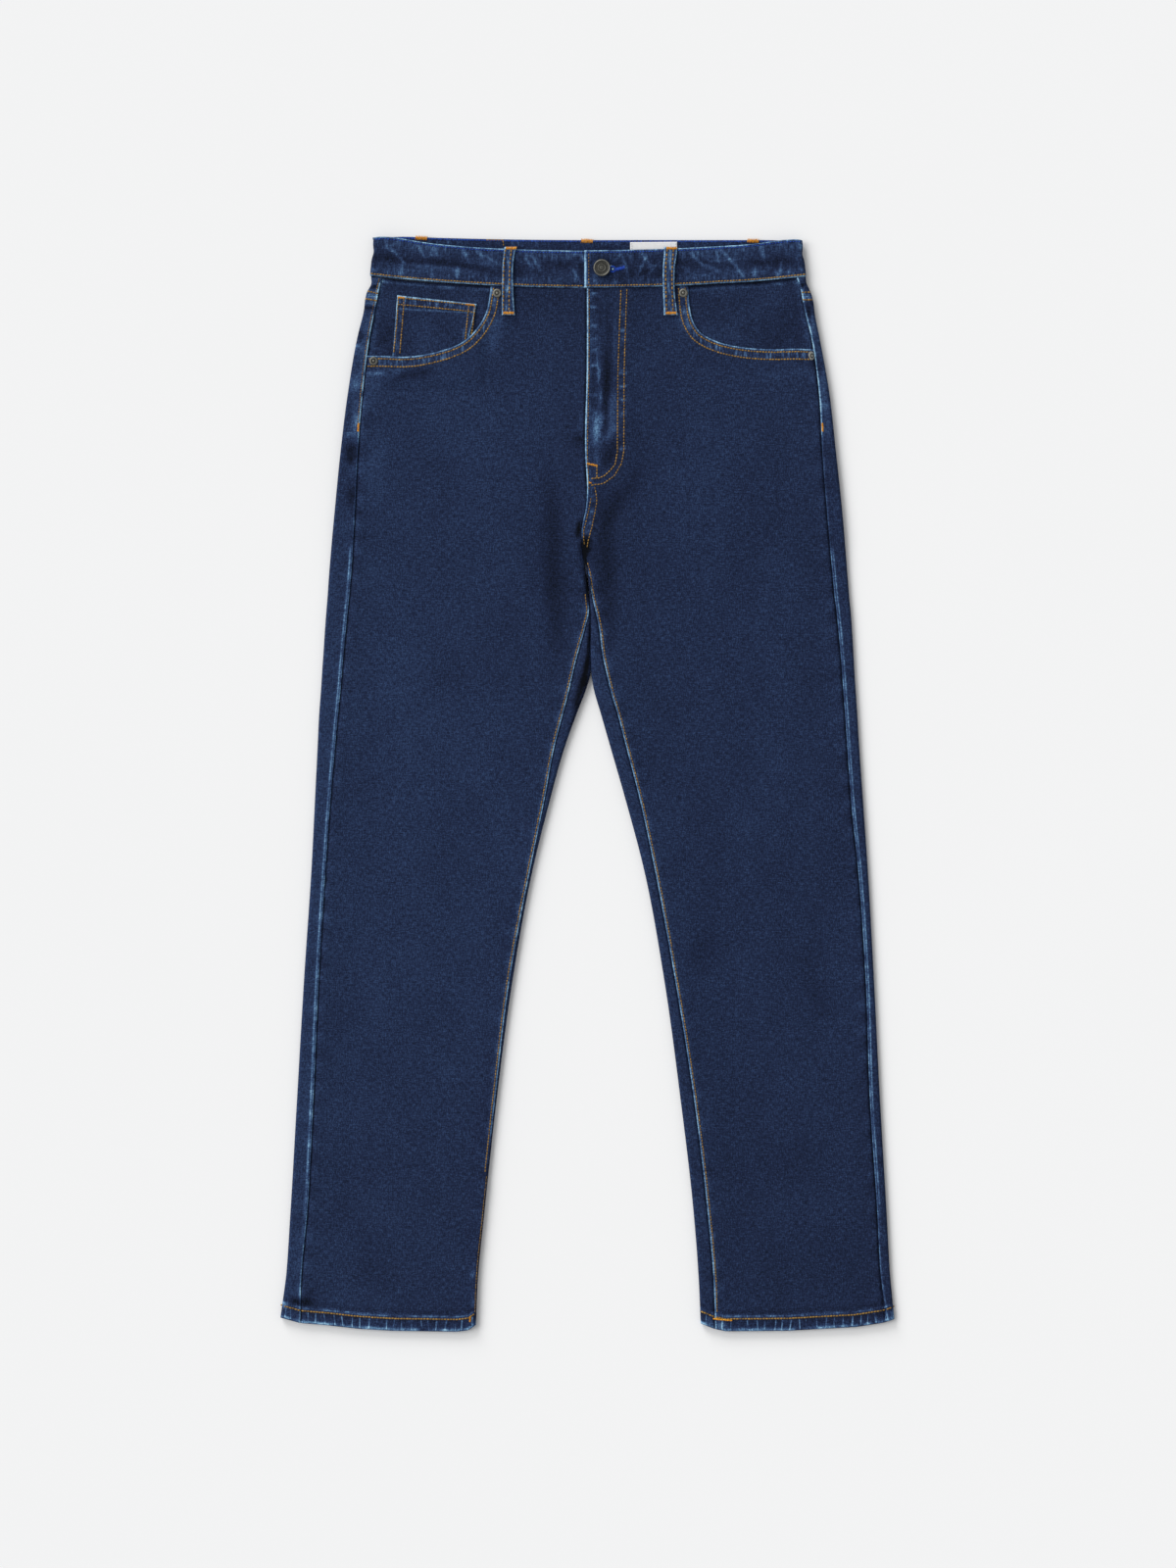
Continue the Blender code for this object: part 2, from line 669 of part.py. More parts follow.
def add_facing(collection, leg, material):
    """Denim behind the pocket opening, from the waist seam to just under the opening's edge."""
    edge_reach, edge_y = opening_curve(leg, 60, beyond=FACING_HIDDEN)
    waist_y = float(front_waist_y(leg.opening_waist)) - SEAM_GAP
    foot_y = leg.opening_side_y - 0.9 * FACING_HIDDEN
    rows = []
    for share in np.linspace(0.0, 1.0, FACING_GRID[0]):
        level = foot_y + share * (waist_y - foot_y)
        far = np.interp(level, edge_y, edge_reach)
        near = float(outer_edge(leg, level))
        reach = np.linspace(near, far, FACING_GRID[1])
        waist = front_waist_y(reach) - SEAM_GAP
        y = foot_y + share * (waist - foot_y)
        rows.append(placed(leg, reach, y, top_height(leg, reach, y) - FACING_DROP))
    add_shell(
        collection, f"pocket_facing_{leg.name}", np.array(rows), DENIM, material, turned=leg.side > 0
    )


class Corner(NamedTuple):
    """A corner seen from above."""

    x: float
    y: float


def four_sided(lower_left, lower_right, upper_left, upper_right, rows, columns):
    """Plan points of a patch between four corners, as x and y grids."""
    up = np.linspace(0.0, 1.0, rows)[:, None]
    over = np.linspace(0.0, 1.0, columns)[None, :]
    low = [(1 - over) * a + over * b for a, b in zip(lower_left, lower_right)]
    high = [(1 - over) * a + over * b for a, b in zip(upper_left, upper_right)]
    return [(1 - up) * a + up * b for a, b in zip(low, high)]


def add_coin_pocket(collection, material):
    """Fifth pocket, on the right facing, with its foot under the opening's edge."""
    x, y = four_sided(
        Corner(x=-200.2, y=426.0),
        Corner(x=-124.0, y=443.0),
        Corner(x=-194.6, y=498.6),
        Corner(x=-113.4, y=489.6),
        rows=7,
        columns=7,
    )
    z = top_height(RIGHT, -x, y) - FACING_DROP + DENIM + COIN_GAP
    add_shell(collection, "coin_pocket", np.stack([x, y, z], axis=-1), DENIM, material)


def add_zip(collection, material):
    """Zip tape beside the right front's edge, under the left front."""
    y = np.linspace(ZIP_TAPE_FOOT_Y, ZIP_TOP_Y, 7)[:, None]
    x = fly_x(y) + FLY_OVERLAP + SEAM_GAP + np.array([0.0, 0.5, 1.0]) * ZIP_WIDTH
    y = np.broadcast_to(y, x.shape)
    z = top_height(LEFT, x, y) - ZIP_DROP
    add_shell(collection, "fly_zip", np.stack([x, y, z], axis=-1), TAPE, material)


BACK_POCKET_OUTLINE = (
    Corner(x=0.0, y=418.0),
    Corner(x=BACK_POCKET_WIDTH, y=430.0),
    Corner(x=BACK_POCKET_WIDTH - 8.0, y=308.0),
    Corner(x=BACK_POCKET_WIDTH / 2 - 2.0, y=281.0),
    Corner(x=6.0, y=298.0),
)


def flat_outline(name, corners, wall):
    """Mesh of a flat outline extruded upwards from the table."""
    mesh = bpy.data.meshes.new(name)
    shape = bmesh.new()
    face = shape.faces.new([shape.verts.new((x * MM, y * MM, 0.0)) for x, y in corners])
    face.normal_update()
    if face.normal.z > 0:
        face.normal_flip()
    grown = bmesh.ops.extrude_face_region(shape, geom=[face])
    top = [item for item in grown["geom"] if isinstance(item, bmesh.types.BMVert)]
    bmesh.ops.translate(shape, verts=top, vec=(0.0, 0.0, wall * MM))
    bmesh.ops.recalc_face_normals(shape, faces=shape.faces)
    shape.to_mesh(mesh)
    shape.free()
    return mesh


def add_back_pocket(collection, leg, material):
    corners = [(leg.side * (BACK_POCKET_INNER_X + x), y) for x, y in BACK_POCKET_OUTLINE]
    name = f"back_pocket_{leg.name}"
    add_object(collection, name, flat_outline(name, corners, DENIM), material)


# Waistband, loops and label


def band_top_y(x):
    """Upper edge of the front waistband, which sags between the hips."""
    share = np.clip(np.abs(x) / BAND_TOP_HALF_WIDTH, 0.0, 1.0)
    return BAND_TOP_CENTER_Y + BAND_TOP_RISE * share**BAND_TOP_POWER


def back_band_top_y(x):
    return BACK_BAND_TOP_Y + BACK_BAND_TOP_RISE * (x / BAND_TOP_HALF_WIDTH) ** 2


def band_edge_x(share):
    """The folded end of the waistband leans out a little towards its lower edge."""
    return BAND_TOP_HALF_WIDTH - 0.2 + BAND_LEAN * (1 - share)


def add_back_band(collection, material):
    over = np.linspace(-BAND_JOIN_X + SEAM_GAP / 2, BAND_JOIN_X - SEAM_GAP / 2, 13)[None, :]
    share = np.linspace(0.0, 1.0, 3)[:, None]
    lower = back_waist_y(over) + SEAM_GAP / 2
    y = lower + share * (back_band_top_y(over) - lower)
    x = np.broadcast_to(over, y.shape)
    z = np.full(y.shape, LOOP_LIFT)
    add_shell(collection, "waistband_back", np.stack([x, y, z], axis=-1), BAND, material, turned=True)


def band_fold(share, count):
    """From the upper side round to the join on the underside: distance outwards and height."""
    edge = band_edge_x(share)
    turn = np.linspace(0.0, math.pi, count)
    reach = edge - BAND_FOLD_RADIUS + BAND_FOLD_RADIUS * np.sin(turn)
    height = LOOP_LIFT + BAND_FOLD_RADIUS * (1 + np.cos(turn))
    join = BAND_JOIN_X + SEAM_GAP / 2
    return np.append(reach, join), np.append(height, LOOP_LIFT)


def band_points(side, upper_reach, upper_height, rows=4):
    """Grid of one front waistband piece, from its end at the fly, over the hip and underneath.

    upper_height gives the outer face's height at a distance outwards from the centre line.
    """
    grid = []
    for share in np.linspace(0.0, 1.0, rows):
        fold_reach, fold_height = band_fold(share, BAND_FOLD_STEPS)
        reach = np.concatenate([upper_reach, fold_reach])
        z = np.concatenate([upper_height(upper_reach), fold_height])
        under = np.arange(len(reach)) >= len(upper_reach) + BAND_FOLD_STEPS // 2
        x = side * reach
        lower = np.where(under, back_waist_y(x), front_waist_y(x)) + SEAM_GAP / 2
        upper = np.where(under, back_band_top_y(x), band_top_y(x))
        grid.append(np.stack([x, lower + share * (upper - lower), z], axis=-1))
    return np.array(grid)


def band_height(reach, end_height, end_fade):
    """Height of a front waistband piece: its end at the fly has its own, and it rises at the hip."""
    side = BAND_FRONT_TOP + BAND_SIDE_RAISE * ramp(150.0, BAND_TOP_HALF_WIDTH, reach)
    return side + (end_height - BAND_FRONT_TOP) * (1 - ramp(*end_fade, reach))


def add_under_band(collection, material):
    """Right end of the waistband: it runs on under the left end and carries the button."""

    def height(reach):
        return band_height(reach, BAND_UNDER_TOP, UNDER_END_FADE)

    points = band_points(-1.0, np.array(UNDER_BAND_REACH), height)
    add_shell(collection, "waistband_front_right", points, BAND, material, turned=True)


def add_upper_band(collection, material):
    """Left end of the waistband, with the buttonhole: it lies over the right end."""

    def height(reach):
        return band_height(reach, BAND_UPPER_TOP, UPPER_END_FADE)

    points = band_points(1.0, np.array(UPPER_BAND_REACH), height)
    add_shell(collection, "waistband_front_left", points, BAND, material)


class LoopStation(NamedTuple):
    """A front belt loop's underside along its length, from its foot up."""

    y: float
    height: float


FRONT_LOOP_STATIONS = (
    LoopStation(y=478.0, height=7.9),
    LoopStation(y=488.0, height=8.2),
    LoopStation(y=500.0, height=9.4),
    LoopStation(y=508.0, height=10.0),
    LoopStation(y=528.0, height=10.2),
    LoopStation(y=542.0, height=9.4),
    LoopStation(y=547.5, height=9.2),
)
FRONT_LOOP_X = {"right": -80.6, "left": 83.8}
BACK_LOOP_X = {"right": -170.0, "center": -1.0, "left": 168.5}


def add_front_loop(collection, name, x, material):
    """A strip that lies on the waistband and steps down to the front panel."""
    over = x + np.array([-0.5, 0.5]) * LOOP_WIDTH
    rows = []
    for station in FRONT_LOOP_STATIONS:
        z = station.height + LOOP
        rows.append([(over[0], station.y, z), (over[1], station.y, z)])
    add_shell(collection, f"belt_loop_front_{name}", np.array(rows), LOOP, material)


def add_back_loop(collection, name, x, material):
    """A strip under the waistband and the yoke, flat on the table."""
    top = float(back_band_top_y(x)) + BACK_LOOP_BEYOND
    low = top - LOOP_LENGTH
    half = LOOP_WIDTH / 2
    corners = [(x - half, low), (x + half, low), (x + half, top), (x - half, top)]
    name = f"belt_loop_back_{name}"
    add_object(collection, name, flat_outline(name, corners, LOOP), material)


def add_label(collection, material):
    """Blank label inside the back waistband, seen over the front's upper edge."""
    x, y = four_sided(
        Corner(x=43.0, y=524.0),
        Corner(x=91.0, y=524.0),
        Corner(x=43.0, y=553.0),
        Corner(x=91.0, y=553.4),
        rows=2,
        columns=3,
    )
    z = np.full(x.shape, LOOP_LIFT + BAND + SEAM_GAP + TAPE)
    add_shell(collection, "label", np.stack([x, y, z], axis=-1), TAPE, material)


# Metal


class Profile(NamedTuple):
    """A point of a turned piece's outline, from its upper middle down."""

    radius: float
    height: float


RIVET_PROFILE = (
    Profile(radius=0.0, height=RIVET_HEIGHT),
    Profile(radius=1.6, height=RIVET_HEIGHT),
    Profile(radius=2.0, height=RIVET_HEIGHT - 0.4),
    Profile(radius=3.2, height=RIVET_HEIGHT - 0.3),
    Profile(radius=RIVET_RADIUS, height=0.45),
    Profile(radius=RIVET_RADIUS, height=0.0),
    Profile(radius=0.0, height=0.0),
)
BUTTON_PROFILE = (
    Profile(radius=0.0, height=3.2),
    Profile(radius=4.6, height=3.3),
    Profile(radius=6.6, height=3.7),
    Profile(radius=8.0, height=3.6),
    Profile(radius=BUTTON_RADIUS, height=2.9),
    Profile(radius=8.2, height=1.9),
    Profile(radius=4.0, height=1.6),
    Profile(radius=4.0, height=0.0),
    Profile(radius=0.0, height=0.0),
)


def add_turned(collection, name, profile, steps, place, tilt, material):
    """A turned piece: its outline swept round its own axis by Screw, then put in its place."""
    mesh = bpy.data.meshes.new(name)
    points = [(point.radius * MM, 0.0, point.height * MM) for point in profile]
    edges = [(index, index + 1) for index in range(len(points) - 1)]
    mesh.from_pydata(points, edges, [])
    piece = add_object(collection, name, mesh, material)
    screw = piece.modifiers.new("turn", "SCREW")
    screw.steps = steps
    screw.render_steps = steps
    screw.use_merge_vertices = True
    screw.merge_threshold = 0.00001
    piece.location = [value * MM for value in place]
    piece.rotation_euler = tilt
    return piece


class RivetPlace(NamedTuple):
    """A rivet at a corner of a front pocket opening. roll turns it about Y, in degrees."""

    name: str
    leg: Leg
    x: float
    y: float
    clearance: float
    roll: float


RIVETS = (
    RivetPlace("rivet_right_waist", RIGHT, x=-92.5, y=500.6, clearance=0.4, roll=0.0),
    RivetPlace("rivet_right_side", RIGHT, x=-218.6, y=431.3, clearance=0.7, roll=-3.0),
    RivetPlace("rivet_left_waist", LEFT, x=97.3, y=500.8, clearance=0.4, roll=0.0),
    RivetPlace("rivet_left_side", LEFT, x=226.6, y=436.2, clearance=0.62, roll=3.0),
)


def add_rivets(collection, material):
    for rivet in RIVETS:
        reach = np.array(rivet.leg.side * rivet.x)
        height = float(front_height(rivet.leg, reach, np.array(rivet.y)))
        place = (rivet.x, rivet.y, height + rivet.clearance)
        tilt = (0.0, math.radians(rivet.roll), 0.0)
        add_turned(collection, rivet.name, RIVET_PROFILE, RIVET_STEPS, place, tilt, material)


def add_button(collection, material):
    place = (BUTTON_X, BUTTON_Y, BAND_UPPER_TOP + SEAM_GAP)
    add_turned(collection, "button", BUTTON_PROFILE, BUTTON_STEPS, place, (0.0, 0.0, 0.0), material)


def main():
    clear_scene()
    collection = garment_collection()
    denim = simple_material("denim", (0.02, 0.035, 0.11))
    tape = simple_material("zip_tape", (0.02, 0.03, 0.07))
    label = simple_material("label", (0.75, 0.76, 0.78), roughness=0.7)
    metal = simple_material("aged_metal", (0.16, 0.15, 0.13), roughness=0.4, metallic=1.0)
    for leg in LEGS:
        add_back(collection, leg, denim)
        add_yoke(collection, leg, denim)
        add_front(collection, leg, denim)
        add_facing(collection, leg, denim)
        add_back_pocket(collection, leg, denim)
    add_coin_pocket(collection, denim)
    add_zip(collection, tape)
    add_back_band(collection, denim)
    add_under_band(collection, denim)
    add_upper_band(collection, denim)
    for name, x in FRONT_LOOP_X.items():
        add_front_loop(collection, name, x, denim)
    for name, x in BACK_LOOP_X.items():
        add_back_loop(collection, name, x, denim)
    add_label(collection, label)
    add_rivets(collection, metal)
    add_button(collection, metal)


main()
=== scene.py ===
"""Looks of straight leg jeans that lie flat on a table, front side up.

Frame: +X to the wearer's left, +Y to the waist, +Z up, with the table at z = 0. Every size below is
in millimetres; a mesh is turned into metres when it is made. A leg is a flattened tube: the front
panel takes the upper side from seam to seam, and the back panel the rest, so that it shows as a
strip along both edges. "Reach" is a distance outwards from the garment's centre line.
"""

from __future__ import annotations

import logging
import math
from collections.abc import Callable, Sequence
from dataclasses import dataclass, field
from enum import Enum
from typing import Any, ClassVar, NamedTuple

import bpy
import numpy as np
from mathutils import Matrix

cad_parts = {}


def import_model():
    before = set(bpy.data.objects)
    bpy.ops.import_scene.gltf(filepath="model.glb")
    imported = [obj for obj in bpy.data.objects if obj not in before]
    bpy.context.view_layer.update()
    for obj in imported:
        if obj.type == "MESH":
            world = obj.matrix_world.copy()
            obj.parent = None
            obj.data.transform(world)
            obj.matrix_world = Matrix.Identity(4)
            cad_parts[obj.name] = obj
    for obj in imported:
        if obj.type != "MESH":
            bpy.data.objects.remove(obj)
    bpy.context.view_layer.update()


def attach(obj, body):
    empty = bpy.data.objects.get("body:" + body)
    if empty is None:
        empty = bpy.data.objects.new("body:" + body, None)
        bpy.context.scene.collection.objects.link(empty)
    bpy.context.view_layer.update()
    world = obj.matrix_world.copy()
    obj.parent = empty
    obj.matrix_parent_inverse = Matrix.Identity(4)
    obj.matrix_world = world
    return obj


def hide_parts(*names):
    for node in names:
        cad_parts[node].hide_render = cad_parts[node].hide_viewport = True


LOG = logging.getLogger("jeans")
MM = 0.001

Array = np.ndarray
Surface = Callable[[Array, Array], Array]
Row = tuple[float, ...]
Path = Sequence[Row] | Array
Color = tuple[int, int, int]
Output = bpy.types.NodeSocket

# Cloth
DENIM = 1.2
HEM_DENIM = 2.4
BAND = 2.4
LOOP = 1.7
TAPE = 1.0
SEAM_GAP = 0.2

# Heights of the lying garment
FOLD_RADIUS = 3.1
SEAM_REACH = 0.7
POCKET_LIFT = 1.5
LOOP_LIFT = 2.0
UNDERSIDE = 0.3
LIFT_YS = (215.0, 270.0)
LOOP_LIFT_YS = (440.0, 485.0)
DIP_REACH = 60.0
NO_EDGE = 500.0

# Levels along the garment
HEM_Y = -559.0
HEM_SHAPE_Y = -500.0
HEM_STITCH = 12.6
HEM_TURN = 15.5
CROTCH_Y = 205.0
JOIN_YS = (185.0, 212.0)
CROTCH_TURN = 20.0
CROTCH_CLOSE = 30.0
HIP_Y = 370.0
YOKE_SIDE_Y = 498.0
YOKE_CENTER_Y = 448.0
YOKE_TOP_Y = 518.0
WAIST_Y = 505.8
WAIST_RISE = 12.3
BACK_WAIST_Y = 518.0
BACK_WAIST_RISE = 2.0
HALF_WAIST = 221.0

# Fly
FLY_OVERLAP = 10.0
FLY_RAISE = 1.5
FLY_WIDTH = 38.0
FLY_FADE = 20.0
FLY_FOOT_YS = (285.0, 312.0)
ZIP_FOOT_Y = 325.0

# Seams
RIDGE = 0.35
DIP = 0.95
STITCH_PITCH = 3.0
STITCH_LENGTH = 3.05
THREAD_WIDTH = 1.65
THREAD_HEIGHT = 0.55
HEM_STITCH_LENGTH = 3.3
HEM_THREAD_WIDTH = 1.8

# Weave
TWILL_PITCH = 1.35
ROPE_PITCH = 8.8

BOTH_FACES = ("indigo_denim", "denim_reverse")
ONE_FACE = ("indigo_denim",)
BACK_LOOP_XS = {"right": -170.0, "center": -1.0, "left": 168.5}

LATTICE = 64
CURVE_STEPS = 240


def ramp(start: float, end: float, at: Array | float) -> Array:
    """0 before start, 1 after end, smooth between."""
    t = np.clip((np.asarray(at, float) - start) / (end - start), 0, 1)
    return t * t * (3 - 2 * t)


def bell(at: Array, middle: float, spread: float) -> Array:
    """A smooth hump of height 1: exp of minus the square of the distance over the spread."""
    return np.exp(-(((at - middle) / spread) ** 2))


def rounded(distance: Array, radius: float) -> Array:
    """How far a rounded edge has dropped at a distance inside it: a quarter circle."""
    inside = radius - np.clip(distance, 0, radius)
    return radius - np.sqrt(np.maximum(radius**2 - inside**2, 0))


def smooth_table(rows: Sequence[tuple], column: int, at: Array | float) -> Array:
    """A table's column read along its first column, on a cubic with the table's own slopes.

    Args:
        rows: the table, ordered by its first column.
        column: which value to read.
        at: the places to read.

    Returns:
        The column's value at each place.
    """
    stations = np.array([row[0] for row in rows], float)
    values = np.array([row[column] for row in rows], float)
    slopes = np.gradient(values, stations)
    at = np.clip(at, stations[0], stations[-1])
    left = np.clip(np.searchsorted(stations, at) - 1, 0, len(stations) - 2)
    span = stations[left + 1] - stations[left]
    t = (at - stations[left]) / span
    rise = values[left + 1] - values[left]
    start = slopes[left] * span
    end = slopes[left + 1] * span
    return values[left] + start * t + (3 * rise - 2 * start - end) * t**2 + (start + end - 2 * rise) * t**3


def nearest_on(path: Array, x: Array, y: Array) -> tuple[Array, Array]:
    """Distance from points to a line of straight pieces, and how far along it the nearest place is.

    Args:
        path: the line's points, (n, 2).
        x: the points' first coordinates.
        y: the points' second coordinates.

    Returns:
        The distances and the lengths along the line, shaped as x.
    """
    start = path[:-1]
    step = np.diff(path, axis=0)
    length = np.hypot(step[:, 0], step[:, 1])
    before = np.concatenate([[0], np.cumsum(length)[:-1]])
    x, y = np.broadcast_arrays(np.asarray(x, float), np.asarray(y, float))
    from_x = x.ravel()[:, None] - start[:, 0]
    from_y = y.ravel()[:, None] - start[:, 1]
    share = np.clip((from_x * step[:, 0] + from_y * step[:, 1]) / length**2, 0, 1)
    gap = np.hypot(from_x - share * step[:, 0], from_y - share * step[:, 1])
    best = gap.argmin(axis=1)
    at = np.arange(len(best))
    along = before[best] + share[at, best] * length[best]
    return gap[at, best].reshape(x.shape), along.reshape(x.shape)


def spaced(path: Array, pitch: float) -> tuple[Array, Array]:
    """Evenly spaced places on a line, with the line's direction at each.

    Args:
        path: the line's points, (n, 2).
        pitch: distance between places, made a little shorter so that they fill the line.

    Returns:
        Places (m, 2) and unit directions (m, 2).
    """
    length = lengths_along(path, 0)
    count = max(int(round(length[-1] / pitch)), 1)
    at = (np.arange(count) + 0.5) * length[-1] / count
    way = at_lengths(path, length, at + 0.4) - at_lengths(path, length, at - 0.4)
    return at_lengths(path, length, at), way / np.maximum(np.linalg.norm(way, axis=1), 1e-6)[:, None]


def joined(*parts: Array | float) -> Array:
    """Points from their coordinates, which are spread to one shape."""
    return np.stack(np.broadcast_arrays(*parts), axis=-1)


def lengths_along(points: Array, axis: int) -> Array:
    """Length of cloth from the first row or column of points to each point, along one axis."""
    step = np.linalg.norm(np.diff(points, axis=axis), axis=-1)
    start = np.zeros_like(np.take(step, [0], axis=axis))
    return np.concatenate([start, np.cumsum(step, axis=axis)], axis=axis)


def at_lengths(path: Array, length: Array, at: Array) -> Array:
    """Points of a line at lengths along it."""
    return joined(*(np.interp(at, length, column) for column in path.T))


@dataclass(frozen=True)
class Unevenness:
    """Smooth random unevenness from -1 to 1: a lattice of fixed random values, blended between."""

    seed: int
    size_x: float
    size_y: float = 1.0

    def at(self, x: Array, y: Array | float = 0) -> Array:
        """The value at each place."""
        lattice = np.random.default_rng(self.seed).uniform(-1, 1, (LATTICE, LATTICE))
        u, v = np.broadcast_arrays(np.asarray(x) / self.size_x + 11.37, np.asarray(y) / self.size_y + 7.71)
        low_u, low_v = np.floor(u).astype(int), np.floor(v).astype(int)
        share_u, share_v = ramp(0, 1, u - low_u), ramp(0, 1, v - low_v)

        def corner(over: int, up: int) -> Array:
            """The lattice's value at one corner of each place's cell."""
            return lattice[(low_u + over) % LATTICE, (low_v + up) % LATTICE]

        low = corner(0, 0) * (1 - share_u) + corner(1, 0) * share_u
        high = corner(0, 1) * (1 - share_u) + corner(1, 1) * share_u
        return low * (1 - share_v) + high * share_v


@dataclass(frozen=True)
class Puckers:
    """Small gathers along a seam, uneven in place and size, that fade away from it."""

    seed: int
    period: float
    reach: float
    lean: float = 0.0

    def at(self, along: Array, distance: Array) -> Array:
        """A sine along the seam whose phase and size wander, times a bell of the distance."""
        wander = Unevenness(self.seed, 2.2 * self.period).at(along)
        size = 0.65 + 0.35 * Unevenness(self.seed + 1, 1.7 * self.period).at(along)
        turn = 2 * math.pi * ((along + self.lean * distance) / self.period + 0.3 * wander)
        return size * np.sin(turn) * bell(distance, 0, self.reach)


class Mark(NamedTuple):
    """A soft hump along a straight line, in height, fading or darkness.

    turned counts degrees from +Y towards +X.
    """

    x: float
    y: float
    turned: float
    length: float
    width: float
    amount: float


def marks(*rows: Row) -> tuple[Mark, ...]:
    """Marks from their fields, in order."""
    return tuple(Mark(*row) for row in rows)


def marked(which: Sequence[Mark], x: Array, y: Array) -> Array:
    """Sum of marks at each place: a mark is a bell across its line, and fades at its ends."""
    total = np.zeros(np.broadcast(x, y).shape)
    for mark in which:
        turned = math.radians(mark.turned)
        along = (x - mark.x) * math.sin(turned) + (y - mark.y) * math.cos(turned)
        across = (x - mark.x) * math.cos(turned) - (y - mark.y) * math.sin(turned)
        total += mark.amount * np.exp(-((2 * across / mark.width) ** 2) - (2 * along / mark.length) ** 4)
    return total


FOLDS = marks(
    (-37, 250, -2, 250, 34, -0.8), (22, 190, -2, 110, 24, -0.6), (34, 300, 25, 90, 26, -0.6),
    (-180, 412, 80, 90, 22, -0.5), (132, -190, 15, 190, 60, -0.5), (226, -232, -20, 150, 50, -0.5),
    (-222, -480, 20, 130, 60, -0.4), (-120, -90, -6, 240, 60, -0.4), (178, -250, 88, 120, 26, -0.35),
)
CREASES = marks(
    (-40, 222, -3, 110, 13, -0.45), (-30, 262, 12, 70, 9, -0.25), (-62, 205, -14, 90, 14, 0.2),
    (18, 186, 2, 90, 9, -0.35), (30, 214, 40, 60, 10, -0.3), (52, 248, 52, 70, 12, -0.22),
    (-66, 262, -48, 70, 12, -0.2), (17, 392, 0, 60, 4, -0.3), (-188, 418, 84, 60, 6, -0.25),
    (-150, 396, 74, 80, 12, -0.15), (170, 402, -80, 90, 14, -0.15), (-215, 340, 30, 60, 14, -0.15),
    (120, -172, 28, 70, 16, -0.2), (238, -222, -32, 70, 18, -0.2), (176, -252, 86, 110, 10, -0.25),
    (190, -272, 95, 70, 9, 0.12), (-224, -498, 12, 60, 20, -0.2), (-150, -40, 70, 90, 18, -0.12),
    (-210, 60, -66, 80, 16, -0.12), (200, 40, 70, 90, 18, -0.12), (-170, -250, 82, 100, 16, -0.12),
    (-230, -330, -70, 60, 14, -0.1), (230, -400, 74, 70, 16, -0.1), (150, -430, -78, 70, 14, -0.1),
    (-160, -470, 78, 60, 14, -0.12),
)
UNDER_FOLDS = marks(
    (-60, 205, -24, 120, 22, 0.5), (66, 198, 26, 120, 24, 0.5), (-150, 240, 74, 150, 20, 0.35),
    (146, 232, -76, 140, 22, 0.35), (-172, -60, 70, 120, 24, 0.3), (176, -90, -66, 130, 26, 0.3),
    (-140, -110, -74, 90, 16, 0.25), (158, -40, 78, 90, 16, 0.25), (-200, -330, 12, 180, 40, 0.25),
    (206, -380, -10, 180, 40, 0.25),
)
# Rubbed places of the fly, the hips and the thighs
FADED = marks(
    (8, 362, 0, 36, 8, 0.36), (12, 366, 8, 30, 10, 0.2), (9, 330, 0, 16, 6, 0.2), (9, 448, 0, 90, 9, 0.05),
    (12, 405, -5.5, 66, 1.9, 0.4), (25, 378, 0, 44, 9, 0.2), (20, 356, 30, 20, 7, 0.2),
    (27, 455, 0, 60, 3, 0.12), (16, 480, 0, 34, 3, 0.12), (-7, 368, 0, 26, 5, 0.14),
    (5, 306, 6, 12, 3, 0.1), (8, 256, 0, 16, 3, 0.22), (-96, 300, -6, 190, 90, 0.02),
    (120, 300, 6, 190, 90, 0.02), (-190, 60, -3, 340, 60, 0.02), (190, 60, 3, 340, 60, 0.02),
    (-236, 446, 62, 13, 4, 0.34), (-241, 442, 40, 14, 6, 0.22), (-239, 408, 0, 18, 9, 0.2),
    (-236, 369, 4, 16, 7, 0.34), (-244, 357, 70, 12, 4, 0.2), (-230, 383, 2, 60, 5, 0.12),
    (-198, 418, 60, 20, 8, 0.16), (-221, 400, 20, 50, 14, 0.07), (-217, 419, 90, 18, 5, 0.25),
    (-95, 462, 10, 40, 16, 0.12), (240, 408, 0, 60, 7, 0.08), (243, 385, 90, 12, 3, 0.2),
    (229, 468, 0, 20, 5, 0.12), (-215.5, 497, 8, 15, 4, 0.5), (-222, 498, 84, 9, 4, 0.3),
    (-223, 489, 84, 8, 3, 0.3), (219, 499, -10, 12, 4, 0.5), (225, 497, 90, 8, 4, 0.3),
    (221.4, 479, -18, 18, 2.6, 0.55), (225.4, 466, -10, 14, 2.4, 0.45), (-213.5, 505, 8, 14, 2.4, 0.4),
    (97, 474, -14, 30, 12, 0.12), (200, 418, 80, 60, 8, 0.06), (-216, 330, 10, 90, 22, 0.05),
    (-310, -532, 0, 7, 6, 0.4), (-118, -502, 0, 8, 5, 0.25), (-117, -530, 0, 7, 4, 0.25),
    (136, -552, 90, 12, 5, 0.35), (308, -541, 90, 9, 8, 0.22), (124, -549, 90, 8, 7, 0.2),
    (-293, -522, 0, 26, 3, 0.3),
)
# Pressed ladders of small light dashes: beside the fly's edge, and between its two rows
FLY_LADDERS = (
    (6, (500, 487, 467, 453, 442, 427, 396)),
    (35.3, (480, 462, 453, 420, 405, 392, 377, 342)),
)
FADED += marks(*((x, y, 90, 7, 2.8, 0.42) for x, levels in FLY_LADDERS for y in levels))
FADED += marks(*((x, y, 90, 5, 3.6, 0.34) for x, y in ((5.6, 292), (4.2, 277), (2.4, 267), (-0.4, 259))))
